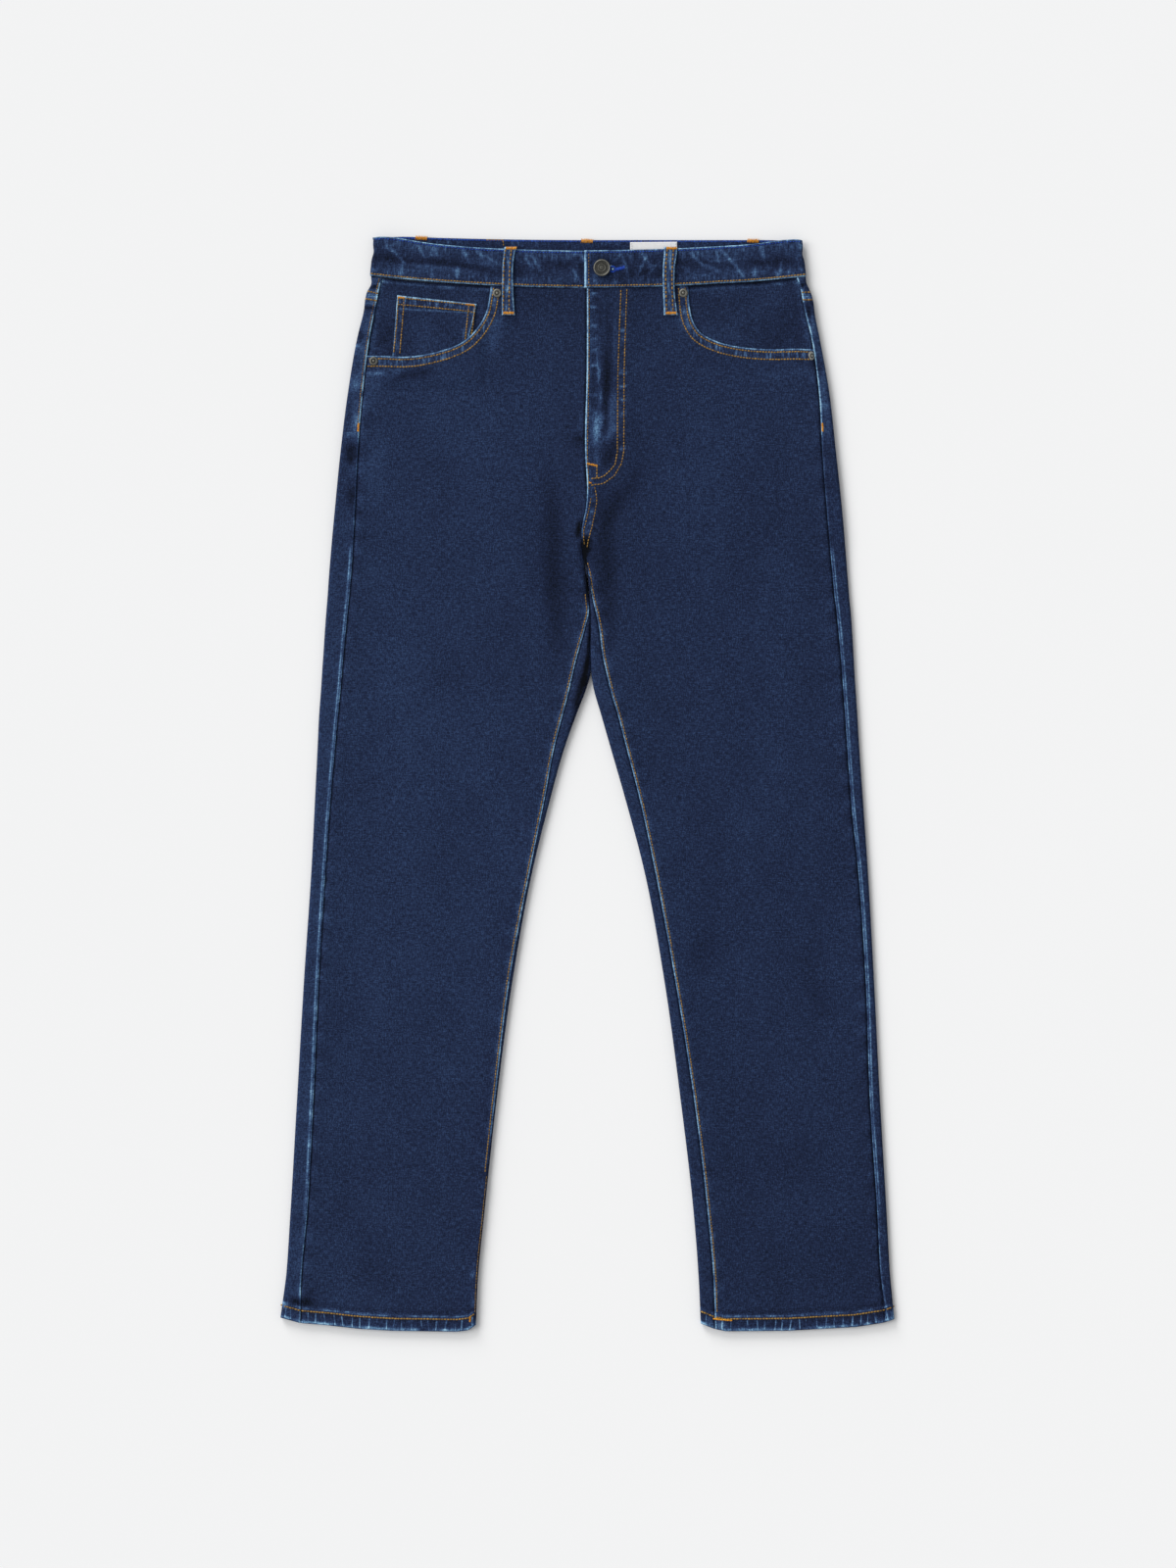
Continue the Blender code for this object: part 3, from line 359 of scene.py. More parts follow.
# Painted shade: hollows, creases, the fork between the legs and places beside seams and edges; a few broad
# places and blotches are simply darker
PAINTED_SHADE = marks(
    (-35, 222, -2, 180, 20, 0.6), (19, 222, -2, 140, 18, 0.5), (43, 303, 28, 64, 16, 0.3),
    (26, 282, 20, 40, 12, 0.4), (-6, 262, 0, 250, 130, 0.12), (-46, 498, 90, 100, 40, 0.22),
    (18, 393, 2, 84, 7, 1), (20, 436, 0, 90, 10, 0.3), (12, 490, 0, 60, 22, 0.25), (5, 413, 0, 56, 6, 0.45),
    (24, 338, 30, 32, 14, 0.65), (-9, 352, 0, 12, 10, 0.7), (-9.5, 260, 8, 17, 5, 1.8),
    (9, 256, -25, 14, 4, 0.8), (-2, 243, 0, 18, 9, 2), (-2, 219, -4, 56, 3, 2.4), (0.5, 140, 4, 40, 3, 1.6),
    (-2.5, 114, 8, 30, 6, 2), (-8, 94, 15, 34, 8, 1.5), (-14, 70, 15, 30, 6, 0.6),
    (-182, 417, 82, 50, 7, 0.6), (-242, 337, 4, 20, 10, 1), (-241, 293, 4, 20, 9, 0.9),
    (-232, 396, 0, 16, 6, 0.6), (-232, 456, 0, 14, 6, 0.6), (-217, 507, 90, 9, 4, 1.6),
    (-224, 486, 80, 9, 4, 1.4), (225, 483, 10, 18, 8, 1.1), (219, 509, 60, 8, 4, 1),
    (236, 424, 0, 18, 9, 0.6), (120, -170, 20, 40, 30, 0.2), (236, -222, -15, 40, 26, 0.2),
    (-222, -500, 10, 30, 40, 0.15), (-292, -528, 90, 24, 8, 1.2), (-284, -520, 60, 14, 6, 0.5),
)
# The waistband's pressed wrinkles: light crests, and hollows that are sunk and darkened with painted shade,
# one along its middle
BAND_CRESTS = marks(
    (-194, 538, -45, 20, 2.6, 0.35), (-171, 544, -30, 16, 2.6, 0.35), (-156, 543, -30, 16, 2.6, 0.3),
    (-126, 541, -27, 20, 3, 0.3), (-112, 542, -30, 12, 2.6, 0.25), (-98, 534, -62, 24, 3, 0.25),
    (-53, 532, -25, 20, 2.6, 0.4), (-60, 531, -40, 16, 2.6, 0.25), (-12, 519, -30, 16, 2.6, 0.35),
    (-150, 526, 96, 66, 6, 0.2), (-190, 524, 0, 14, 5, 0.25), (-133, 523, 0, 12, 5, 0.22),
    (38, 528, -15, 22, 2.6, 0.36), (55, 528, 26, 24, 2.6, 0.36), (61, 533, -40, 14, 2.6, 0.3),
    (67, 526, 40, 16, 2.6, 0.26), (30, 536, 50, 14, 2.6, 0.25), (8, 514, 0, 14, 4, 0.2),
    (111, 535, -43, 22, 2.8, 0.4), (126, 526, -62, 20, 2.8, 0.3), (144, 536, -40, 20, 2.8, 0.42),
    (154, 524, -30, 18, 2.8, 0.36), (132, 540, -10, 14, 2.6, 0.3), (178, 541, -20, 16, 2.8, 0.34),
    (196, 524, 10, 16, 3, 0.3), (170, 522, 0, 12, 3, 0.3),
)
BAND_HOLLOWS = marks(
    (-212, 537, 86, 44, 9, 0.9), (-190, 533, 95, 30, 8, 0.6), (-160, 532, 96, 50, 8, 0.6),
    (-118, 527, 98, 60, 8, 0.7), (-70, 526, 10, 26, 14, 0.5), (-32, 529, 90, 44, 9, 0.45),
    (-7, 524, 0, 26, 6, 0.8), (28, 514, 90, 30, 8, 0.4), (62, 519, 90, 44, 9, 0.4),
    (94, 524, 0, 28, 9, 0.6), (122, 531, 92, 56, 8, 0.5), (186, 532, 86, 56, 9, 0.7),
    (44, 529, 90, 84, 30, 0.55), (-48, 541, 0, 76, 14, 0.28),
)


class Line(Enum):
    """A line down a leg, by its column in the leg's rows."""

    OUTER = 1
    SIDE_SEAM = 2
    INSEAM = 3
    INNER = 4


# A leg's level, and there the reaches of its outer edge, side seam, inseam and inner edge
RIGHT_ROWS = (
    (-559, 314, 293.4, 115.2, 114.4), (-500, 308, 292, 112.8, 112), (-440, 304, 286.4, 106.8, 106),
    (-320, 297, 279.8, 94.2, 93), (-200, 290, 274.5, 79.6, 77), (-80, 282, 267, 57.1, 54.8),
    (-20, 279, 262.7, 44.7, 39.8), (40, 276, 257.5, 33.4, 23), (70, 274.6, 254.8, 25.6, 12.2),
    (100, 272.4, 251.8, 17.8, 0.8), (112, 271.7, 250.8, 15.2, -2.6), (130, 270.4, 249.3, 10.8, -2.4),
    (160, 268.4, 246.5, 2.4, -2.4), (176, 267.2, 244.9, -1.4, -2.4), (190, 266, 243.4, -0.2, -1.2),
    (205, 265, 242, 1.6, 0), (280, 258.5, 237.3, 0.15, 0.2), (340, 252.5, 234.3, 0.15, 0.2),
    (400, 245, 229.4, 0.15, 0.2), (460, 234.5, 221.7, 0.15, 0.2), (484, 228.6, 217, 0.15, 0.2),
    (495, 227.3, 214.7, 0.15, 0.2), (502, 225.4, 213.3, 0.15, 0.2), (508, 221.8, 212.1, 0.15, 0.2),
    (520, 221.4, 209.5, 0.15, 0.2),
)
LEFT_ROWS = (
    (-559, 312.8, 305.4, 129.8, 115), (-500, 308.3, 298.4, 127.6, 112.6), (-440, 305, 295.2, 122.2, 108),
    (-320, 298, 287.4, 107.7, 94.2), (-200, 292, 283.2, 88.7, 77.8), (-80, 285.2, 274.8, 66.4, 55.4),
    (-20, 281, 268.5, 53.6, 39.4), (40, 276.8, 264.2, 38.2, 22.2), (70, 275, 262.2, 30.4, 13.6),
    (100, 273, 260, 21.6, 5.2), (112, 272.2, 259.2, 18.9, 3.4), (130, 271.2, 257.8, 14.8, 2.4),
    (160, 269.4, 255, 10.9, 2.4), (176, 268.2, 253.4, 7.6, 2.3), (190, 266.8, 251.6, 4, 1.3),
    (205, 265.6, 250.2, 1.2, 0.2), (280, 259.4, 243.4, 0.15, 0.2), (340, 253, 238.8, 0.15, 0.2),
    (400, 246.2, 235.4, 0.15, 0.2), (460, 235.4, 226.6, 0.15, 0.2), (480, 231.4, 221.6, 0.15, 0.2),
    (493, 229.8, 218.9, 0.15, 0.2), (503, 226.6, 217, 0.15, 0.2), (509, 223.4, 215.6, 0.15, 0.2),
    (520, 222.2, 212, 0.15, 0.2),
)
# The hem's lower edge: how far across from the inner edge, as a share, and the level
RIGHT_HEM = (
    (0, -552), (0.04, -557.5), (0.1, -559), (0.43, -558), (0.6, -556), (0.77, -552.2), (0.9, -550),
    (1, -544.5),
)
LEFT_HEM = (
    (0, -550.5), (0.07, -556), (0.13, -558.5), (0.45, -558), (0.8, -554.2), (0.95, -549.5), (1, -546),
)
# The front pockets' edges from the side seam to the waist: reach and level
RIGHT_OPENING = (
    (225, 437), (208, 436.7), (188, 435.9), (174, 437), (162, 439.1), (151, 441.8), (140, 445.2),
    (129.6, 449.9), (120.6, 456.6), (113.2, 465), (107.2, 474.4), (103, 484.4), (101, 495), (99.2, 508),
)
LEFT_OPENING = (
    (230.5, 443.5), (213, 444.2), (190, 443.7), (167, 444.7), (150, 447), (136, 450.2), (124, 455),
    (114, 461.6), (108.8, 469.2), (105.4, 478), (103.9, 487), (102.9, 497), (102.3, 508.6),
)
# Both layers' thickness together in the middle of a leg, by level
MID_HEIGHTS = (
    (-559, 5.9), (-540, 5.6), (-470, 4.6), (-60, 4.3), (120, 5.2), (215, 5.8), (300, 5.2), (400, 4.8),
    (500, 5.3), (560, 5.4),
)
# The overlapping front edge of the fly, by level
FLY_LINE = (
    (205, 0), (222, -3.4), (244, -6.2), (262, -6.4), (283, -2.2), (300, -1.2), (335, -3), (420, -1.5),
    (560, -1.5),
)
# The front waistband's upper edge, by x
BAND_TOP = (
    (-222, 556.2), (-217, 557.6), (-203, 558), (-190, 556.4), (-170, 553), (-130, 548.6), (-80, 545.7),
    (0, 544.2), (90, 546.4), (130, 548.4), (170, 551.2), (190, 553.8), (203, 555.2), (217, 555),
    (222, 553.6),
)


def lift(y: Array) -> Array:
    """Height of the back's underside, which lies on the back pockets and the belt loops."""
    return POCKET_LIFT * ramp(*LIFT_YS, y) + (LOOP_LIFT - POCKET_LIFT) * ramp(*LOOP_LIFT_YS, y)


def fly_x(y: Array) -> Array:
    """Where the fly's overlapping edge is."""
    return smooth_table(FLY_LINE, 1, y)


def front_waist_y(x: Array) -> Array:
    """Lower edge of the front waistband."""
    return WAIST_Y + WAIST_RISE * (x / HALF_WAIST) ** 2 - 0.8 * ramp(130, 170, x)


def back_waist_y(x: Array) -> Array:
    """Lower edge of the back waistband, underneath."""
    return BACK_WAIST_Y + BACK_WAIST_RISE * (x / HALF_WAIST) ** 2


def band_top_y(x: Array) -> Array:
    """Upper edge of the front waistband, which sags between the hips."""
    return smooth_table(BAND_TOP, 1, x)


def back_band_top_y(x: Array) -> Array:
    """Upper edge of the back waistband."""
    return 555.4 + 3.6 * np.clip(-x / 190, 0, 1) ** 2 - 1.2 * ramp(180, 221, np.abs(x))


def yoke_seam_y(across: Array) -> Array:
    """The yoke seam underneath, by the share across from the centre line to the hip."""
    return YOKE_CENTER_Y + (YOKE_SIDE_Y - YOKE_CENTER_Y) * across


@dataclass(frozen=True)
class Leg:
    """The form of one half of the garment as it lies, with the relief of its upper side."""

    name: str
    side: float
    rows: tuple[Row, ...]
    hem: tuple[Row, ...]
    opening: tuple[Row, ...]
    seed: int

    @property
    def is_right(self) -> bool:
        """True for the wearer's right, which lies under the other at the fly."""
        return self.side < 0

    @property
    def opening_side_y(self) -> float:
        """Where the pocket's edge meets the side seam, as a level."""
        return self.opening[0][1]

    @property
    def opening_waist(self) -> float:
        """Where the pocket's edge meets the waistband, as a reach."""
        return self.opening[-1][0]

    def line(self, which: Line, y: Array) -> Array:
        """Reach of one of the leg's lines at a level."""
        return smooth_table(self.rows, which.value, y)

    def hem_edge(self, across: Array) -> Array:
        """Level of the hem's lower edge, by the share across."""
        return np.interp(across, *zip(*self.hem))

    def hem_shaped(self, y: Array, across: Array) -> Array:
        """A level near the hem, moved so that the last one follows the hem's lower edge."""
        share = np.clip((HEM_SHAPE_Y - y) / (HEM_SHAPE_Y - HEM_Y), 0, 1)
        return y + share * (self.hem_edge(across) - HEM_Y)

    def over_hem(self, reach: Array, y: Array) -> Array:
        """Height of a place over the hem's lower edge."""
        return y - self.hem_edge(self.across(reach, y))

    def path(self, reach: Array | float, y: Array | float) -> Array:
        """A line seen from above, from its reaches and levels."""
        return joined(self.side * reach, y)

    def hem_row(self, start: float, end: float, count: int = 60) -> Array:
        """The hem's row of stitches between two reaches, seen from above."""
        reach = np.linspace(start, end, count)
        return self.path(reach, self.hem_edge(self.across(reach, HEM_Y + HEM_STITCH)) + HEM_STITCH)

    def across(self, reach: Array, y: Array) -> Array:
        """Share across the leg, from 0 at its inner edge to 1 at its outer edge."""
        inner = self.line(Line.INNER, y)
        return np.clip((reach - inner) / (self.line(Line.OUTER, y) - inner), 0, 1)

    def outer_edge(self, y: Array) -> Array:
        """Outer edge of the front panel, at the side seam."""
        return self.line(Line.SIDE_SEAM, y) - SEAM_GAP / 2

    def inseam(self, y: Array) -> Array:
        """The inseam, which stays clear of the inner fold's edge."""
        return np.maximum(self.line(Line.INSEAM, y), self.line(Line.INNER, y) + SEAM_REACH)

    def inner_edge(self, y: Array) -> Array:
        """Inner edge of the front panel: the inseam, and above the crotch the fly."""
        below = self.inseam(y)
        above = self.side * fly_x(y)
        if self.is_right:
            above = above - FLY_OVERLAP * ramp(ZIP_FOOT_Y, ZIP_FOOT_Y + 20, y)
        return below + (above - below) * ramp(CROTCH_Y, CROTCH_Y + CROTCH_CLOSE, y) + SEAM_GAP / 2

    def opening_curve(self, beyond: tuple[float, float] = (0, 0), count: int = 49) -> Array:
        """The front pocket's edge from the side seam to the waist, smooth through its points.

        Args:
            beyond: how far outside the edge to run, at the side and at the waist.
            count: how many points, evenly spaced.

        Returns:
            Points (count, 2) as reach and level.
        """
        points = np.array(self.opening, float)
        points[0, 0] = self.outer_edge(points[0, 1])
        points[-1, 1] = front_waist_y(points[-1, 0]) - SEAM_GAP
        length = lengths_along(points, 0)
        rows = [(at, *point) for at, point in zip(length, points)]
        at = np.linspace(0, length[-1], CURVE_STEPS)
        curve = joined(*(smooth_table(rows, axis, at) for axis in (1, 2)))
        way = np.gradient(curve, axis=0)
        away = joined(-way[:, 1], way[:, 0]) / np.linalg.norm(way, axis=1)[:, None]
        curve = curve + np.linspace(*beyond, CURVE_STEPS)[:, None] * away
        length = lengths_along(curve, 0)
        return at_lengths(curve, length, np.linspace(0, length[-1], count))

    def opening_distance(self, reach: Array, y: Array) -> tuple[Array, Array]:
        """Distance from the pocket opening's edge and the length along it, far off where y is low."""
        reach, y = np.broadcast_arrays(np.asarray(reach, float), np.asarray(y, float))
        distance = np.full(reach.shape, NO_EDGE)
        along = np.zeros(reach.shape)
        near = y > self.opening_side_y - 60
        if near.any():
            distance[near], along[near] = nearest_on(self.opening_curve(), reach[near], y[near])
        return distance, along

    def top_height(self, reach: Array, y: Array) -> Array:
        """Height of the upper side: the folds' rounds, settling to the middle, and soft folds."""
        outer = self.line(Line.OUTER, y) - reach
        inner = reach - self.line(Line.INNER, y)
        closed = ramp(*JOIN_YS, y)
        nearest = np.minimum(outer, inner + closed * NO_EDGE)
        settled = ramp(FOLD_RADIUS, FOLD_RADIUS + DIP_REACH, nearest)
        full = 2 * FOLD_RADIUS
        height = full - rounded(outer, FOLD_RADIUS) - rounded(inner, FOLD_RADIUS) * (1 - closed)
        height = height - settled * (full - smooth_table(MID_HEIGHTS, 1, y))
        x = self.side * reach
        uneven = 0.16 * Unevenness(self.seed, 46, 70).at(x, y)
        uneven += 0.08 * Unevenness(self.seed + 1, 17, 25).at(x, y)
        return lift(y) + height + settled * (marked(FOLDS + CREASES, x, y) + uneven)

    def raised(self, reach: Array, y: Array) -> Array:
        """What the front panel lies over: the coin pocket's foot, or the fly's under layer."""
        if self.is_right:
            over = ramp(101, 114, reach) * (1 - ramp(205, 222, reach))
            return 1.8 * over * ramp(400, 415, y) * (1 - ramp(462, 478, y))
        from_edge = reach - fly_x(y)
        return FLY_RAISE * (1 - ramp(FLY_WIDTH, FLY_WIDTH + FLY_FADE, from_edge)) * ramp(*FLY_FOOT_YS, y)

    def side_puckers(self, y: Array, distance: Array) -> Array:
        """Gathers along the side seam."""
        return Puckers(self.seed + 2, 29, 9, 0.4).at(y, distance)

    def inseam_puckers(self, y: Array, distance: Array) -> Array:
        """Gathers along the inseam."""
        return Puckers(self.seed + 5, 28, 10, -0.5).at(y, distance)

    def hem_relief(self, x: Array, hem: Array) -> Array:
        """The hem's twisted ropes, its turned edge's step and the dip of its stitches."""
        ropes = Puckers(self.seed + 8, 8.6, 1e6, 0.45).at(x, hem)
        inside = ramp(1, 4, hem) * (1 - ramp(13, 18, hem))
        step = 0.25 * (1 - ramp(HEM_TURN - 1, HEM_TURN + 1.5, hem))
        return 0.2 * ropes * inside + step - 0.14 * bell(hem, HEM_STITCH, 1) - rounded(hem, 0.9)

    def front(self, reach: Array, y: Array) -> Array:
        """Height of the front panel.

        Its inseam edge lies over the back's, a ridge, and its side edge dips under the back's. A
        band beside the side seam is raised by the seam's inner layers. The pocket's edge is turned
        and gathered between its two rows of stitches.
        """
        x = self.side * np.asarray(reach, float)
        side = self.outer_edge(y) - reach
        seam = reach - self.inner_edge(y)
        opening, along = self.opening_distance(reach, y)
        hem = self.over_hem(reach, y)
        beside = 1 - ramp(self.opening_side_y - 8, self.opening_side_y - 1, y)
        z = self.top_height(reach, y) + self.raised(reach, y)
        z += beside * (0.22 * ramp(1.5, 4, side) * (1 - ramp(8, 12, side)) - DIP * bell(side, 0, 1.3))
        z += beside * 0.26 * self.side_puckers(y, side)
        z += RIDGE * (1 - ramp(3, 5, seam)) - rounded(seam, 0.7) - 0.12 * bell(seam, 2.6, 0.6)
        z += 0.26 * self.inseam_puckers(y, seam) * (1 - ramp(190, 215, y))
        z -= 2.4 * bell(seam, 0, 3.2) * ramp(178, 204, y) * (1 - ramp(236, 252, y))
        z += 0.2 * (1 - ramp(10.5, 13, opening)) - rounded(opening, 0.7)
        z -= 0.14 * (bell(opening, 3.2, 0.7) + bell(opening, 10, 1))
        gathered = ramp(1.5, 4, opening) * (1 - ramp(9, 14, opening))
        z += 0.16 * Puckers(self.seed + 11, 6.5, 1e6).at(along, opening) * gathered
        return z + self.hem_relief(x, hem)

    def strip(self, reach: Array, y: Array) -> Array:
        """Height of the back's strips beside the front: a ridge at the side seam, a dip at the inseam."""
        outer = self.line(Line.OUTER, y) - reach
        inner = reach - self.line(Line.INNER, y)
        side = reach - self.line(Line.SIDE_SEAM, y) - SEAM_GAP / 2
        seam = self.inseam(y) - SEAM_GAP / 2 - reach
        by_side = side > -20
        free = ramp(FOLD_RADIUS, FOLD_RADIUS + 1.5, np.where(by_side, outer, inner))
        ridge = RIDGE * (1 - ramp(3, 5, side)) - rounded(side, 0.7) + 0.2 * self.side_puckers(y, side)
        dip = -DIP * bell(seam, 0, 1.2) + 0.2 * self.inseam_puckers(y, seam)
        hem = self.over_hem(reach, y)
        x = self.side * np.asarray(reach, float)
        relief = np.where(by_side, ridge, dip) * free
        return self.top_height(reach, y) + relief + self.hem_relief(x, hem) * np.where(by_side, free, 1)


RIGHT = Leg("right", -1.0, RIGHT_ROWS, RIGHT_HEM, RIGHT_OPENING, seed=101)
LEFT = Leg("left", 1.0, LEFT_ROWS, LEFT_HEM, LEFT_OPENING, seed=211)
LEGS = (RIGHT, LEFT)


# Finishes


def linear(color: Color) -> tuple[float, float, float, float]:
    """A colour of 0 to 255 steps as linear light, with full alpha."""
    share = np.array(color, float) / 255
    light = np.where(share <= 0.04045, share / 12.92, ((share + 0.055) / 1.055) ** 2.4)
    return (*(float(value) for value in light), 1)


@dataclass
class Board:
    """A node tree while it is being wired."""

    tree: bpy.types.NodeTree

    def node(self, kind: str, **settings: Any) -> bpy.types.Node:
        """A new node with its settings made."""
        node = self.tree.nodes.new(f"ShaderNode{kind}")
        for name, value in settings.items():
            setattr(node, name, value)
        return node

    def feed(self, node: bpy.types.Node, **sources: Any) -> None:
        """Joins outputs to a node's inputs, or sets the inputs' values, by the inputs' names."""
        for name, source in sources.items():
            self.join(node.inputs[name.replace("_", " ").title()], source)

    def join(self, socket: bpy.types.NodeSocket, source: Any) -> None:
        """Joins an output to an input, or sets the input's value."""
        if isinstance(source, bpy.types.NodeSocket):
            self.tree.links.new(source, socket)
        else:
            socket.default_value = source

    def math(self, operation: str, *values: Any, clamp: bool = False) -> Output:
        """A sum on one, two or three values."""
        node = self.node("Math", operation=operation, use_clamp=clamp)
        for socket, value in zip(node.inputs, values):
            self.join(socket, value)
        return node.outputs[0]

    def times(self, first: Any, second: Any) -> Output:
        """A product."""
        return self.math("MULTIPLY", first, second)

    def less(self, first: Any, second: Any) -> Output:
        """A difference."""
        return self.math("SUBTRACT", first, second)

    def add(self, value: Any, factor: Any, base: Any, clamp: bool = False) -> Output:
        """A value times a factor, on top of a base."""
        return self.math("MULTIPLY_ADD", value, factor, base, clamp=clamp)

    def stretched(self, vector: Any, x: float, y: float) -> Output:
        """A vector times a scale across and along."""
        node = self.node("VectorMath", operation="MULTIPLY")
        self.join(node.inputs[0], vector)
        self.join(node.inputs[1], (x, y, 1))
        return node.outputs[0]

    def noise(self, vector: Any, scale: float = 1.0, detail: float = 2.0, rough: float = 0.5) -> Output:
        """Soft noise, about 0.5 in the mean."""
        node = self.node("TexNoise", noise_dimensions="3D")
        self.feed(node, vector=vector, scale=scale, detail=detail, roughness=rough)
        return node.outputs["Fac"]

    def place(self) -> Output:
        """Object coordinates, in metres."""
        return self.node("TexCoord").outputs["Object"]

    def attribute(self, name: str, output: str = "Fac") -> Output:
        """A value that the piece's mesh carries."""
        return self.node("Attribute", attribute_name=name).outputs[output]

    def split(self, vector: Any) -> Sequence[Output]:
        """A vector's three values."""
        node = self.node("SeparateXYZ")
        self.join(node.inputs[0], vector)
        return node.outputs

    def colors(self, value: Any, *stops: tuple[float, Color]) -> Output:
        """A value turned into a colour along stops."""
        node = self.node("ValToRGB")
        band = node.color_ramp
        while len(band.elements) < len(stops):
            band.elements.new(0.5)
        for element, (place, color) in zip(band.elements, stops):
            element.position = place
            element.color = linear(color)
        self.feed(node, fac=value)
        return node.outputs["Color"]

    def bump(self, height: Any, depth: float, strength: float = 1.0) -> Output:
        """A normal from a height, whose full depth is in millimetres."""
        node = self.node("Bump")
        self.feed(node, height=height, distance=depth * MM, strength=strength)
        return node.outputs["Normal"]

    def placed(self, group: bpy.types.NodeTree, **values: Any) -> dict[str, Output]:
        """A group's outputs, fed by its inputs' names."""
        node = self.node("Group", node_tree=group)
        self.feed(node, **values)
        return {output.name.lower(): output for output in node.outputs}


def new_group(name: str, inputs: dict[str, str], outputs: Sequence[str]) -> tuple[Board, Any, Any]:
    """An empty shader group with its sockets made.

    Args:
        name: the group's name.
        inputs: socket kinds by name.
        outputs: names of its outputs, which are all numbers.

    Returns:
        Its board, its input node's outputs and its output node.
    """
    tree = bpy.data.node_groups.new(name, "ShaderNodeTree")
    for way, sockets in (("INPUT", inputs), ("OUTPUT", dict.fromkeys(outputs, "Float"))):
        for socket, kind in sockets.items():
            tree.interface.new_socket(name=socket, in_out=way, socket_type=f"NodeSocket{kind}")
    return Board(tree), tree.nodes.new("NodeGroupInput").outputs, tree.nodes.new("NodeGroupOutput")


def weave_group() -> bpy.types.NodeTree:
    """Slubby twill in millimetres of cloth: its grain, its height and thin streaks along the warp.

    Grain adds short dashes along the warp and the weft, which are noises stretched along one axis,
    to fine noise. Height adds a diagonal rib, a sine of u plus v. Ropes are thin crests along the
    warp, a sine of u whose phase wanders, raised to a high power.
    """
    board, get, end = new_group(
        "denim_weave", {"Cloth": "Vector"}, ("Grain", "Height", "Streaks", "Patches", "Ropes")
    )

    def noise(x: float, y: float, detail: float, rough: float = 0.5) -> Output:
        """Noise of the cloth, stretched."""
        return board.noise(board.stretched(get["Cloth"], x, y), 1, detail, rough)

    warp, weft, fine = noise(0.7, 0.24, 1.5), noise(0.2, 0.66, 1.5), noise(1, 0.92, 1)
    dashes = board.math("ADD", board.times(warp, 0.45), board.times(weft, 0.4))
    grain = board.add(board.less(board.add(fine, 0.55, dashes), 0.7), 2.6, 0.5)
    across, along, _up = board.split(get["Cloth"])
    rib = board.math("SINE", board.times(board.math("ADD", across, along), 2 * math.pi / TWILL_PITCH))
    streaks = noise(0.34, 0.07, 2, 0.6)
    turn = board.add(across, 2 * math.pi / ROPE_PITCH, board.times(noise(0.06, 0.02, 1), 9))
    crest = board.math("POWER", board.math("MAXIMUM", board.math("SINE", turn), 0), 9)
    size = board.math("MULTIPLY", board.less(streaks, 0.36), 4, clamp=True)
    board.feed(
        end, grain=grain, height=board.add(rib, 0.1, grain), streaks=streaks,
        patches=noise(0.12, 0.09, 3, 0.6), ropes=board.times(crest, size),
    )
    return board.tree


def fading_group() -> bpy.types.NodeTree:
    """How light the denim is: its ground, grain and shade, and where it is rubbed or streaked."""
    names = ("Ground", "Grain", "Streaks", "Patches", "Ropes", "Rub", "Streak", "Shade", "Rope")
    board, get, end = new_group("denim_fading", dict.fromkeys(names, "Float"), ("Lightness",))
    patches = board.less(get["Patches"], 0.5)
    light = board.add(board.less(get["Grain"], 0.5), 0.3, get["Ground"])
    light = board.add(patches, 0.035, light)
    light = board.add(board.times(get["Ropes"], get["Rope"]), 0.52, light)
    light = board.add(get["Shade"], 0.08, light)
    mottled = board.add(patches, 1.5, 0.75, clamp=True)
    light = board.add(board.times(get["Rub"], board.add(get["Grain"], 0.45, mottled)), 0.75, light)
    streaked = board.math("MULTIPLY", board.less(get["Streaks"], 0.47), 4, clamp=True)
    board.feed(end, lightness=board.add(board.times(streaked, get["Streak"]), 0.42, light))
    return board.tree


def shared_group(name: str) -> bpy.types.NodeTree:
    """A shader group that several materials use, made the first time it is asked for."""
    makers = {"denim_weave": weave_group, "denim_fading": fading_group}
    return bpy.data.node_groups.get(name) or makers[name]()


@dataclass(frozen=True)
class Finish:
    """A finish on a plain Principled shader."""

    name: str
    roughness: ClassVar[float] = 0.5
    specular: ClassVar[float] = 0.5

    def wire(self, board: Board) -> dict[str, Any]:
        """Makes the finish's own nodes, and returns what the shader's inputs are fed, by name."""
        raise NotImplementedError

    def material(self) -> bpy.types.Material:
        """The finish as a material."""
        material = bpy.data.materials.new(self.name)
        material.use_nodes = True
        board = Board(material.node_tree)
        shader = material.node_tree.nodes["Principled BSDF"]
        shader.inputs["Specular IOR Level"].default_value = self.specular
        board.feed(shader, **{"roughness": self.roughness, **self.wire(board)})
        return material


@dataclass(frozen=True)
class DenimFinish(Finish):
    """Indigo twill that is dark where it isn't rubbed; reads the mesh's cloth, rub, streak and shade."""

    ground: float
    stops: tuple[tuple[float, Color], ...]
    relief: float = 0.16
    roughness: ClassVar[float] = 0.9
    specular: ClassVar[float] = 0.08

    def wire(self, board: Board) -> dict[str, Any]:
        """Colour by how light the denim is, and the weave's height."""
        weave = board.placed(shared_group("denim_weave"), cloth=board.attribute("cloth", "Vector"))
        height = weave.pop("height")
        wear = {name: board.attribute(name) for name in WearAndShade._fields}
        fading = board.placed(shared_group("denim_fading"), ground=self.ground, **weave, **wear)
        color = board.colors(fading["lightness"], *self.stops)
        return {"base_color": color, "normal": board.bump(height, self.relief, 0.8)}


@dataclass(frozen=True)
class TwoTone(Finish):
    """A finish whose colour runs from a dark to a pale tone."""

    dark: Color
    pale: Color

    def toned(self, board: Board, value: Output) -> Output:
        """The colour for a value from 0 to 1."""
        return board.colors(value, (0, self.dark), (1, self.pale))


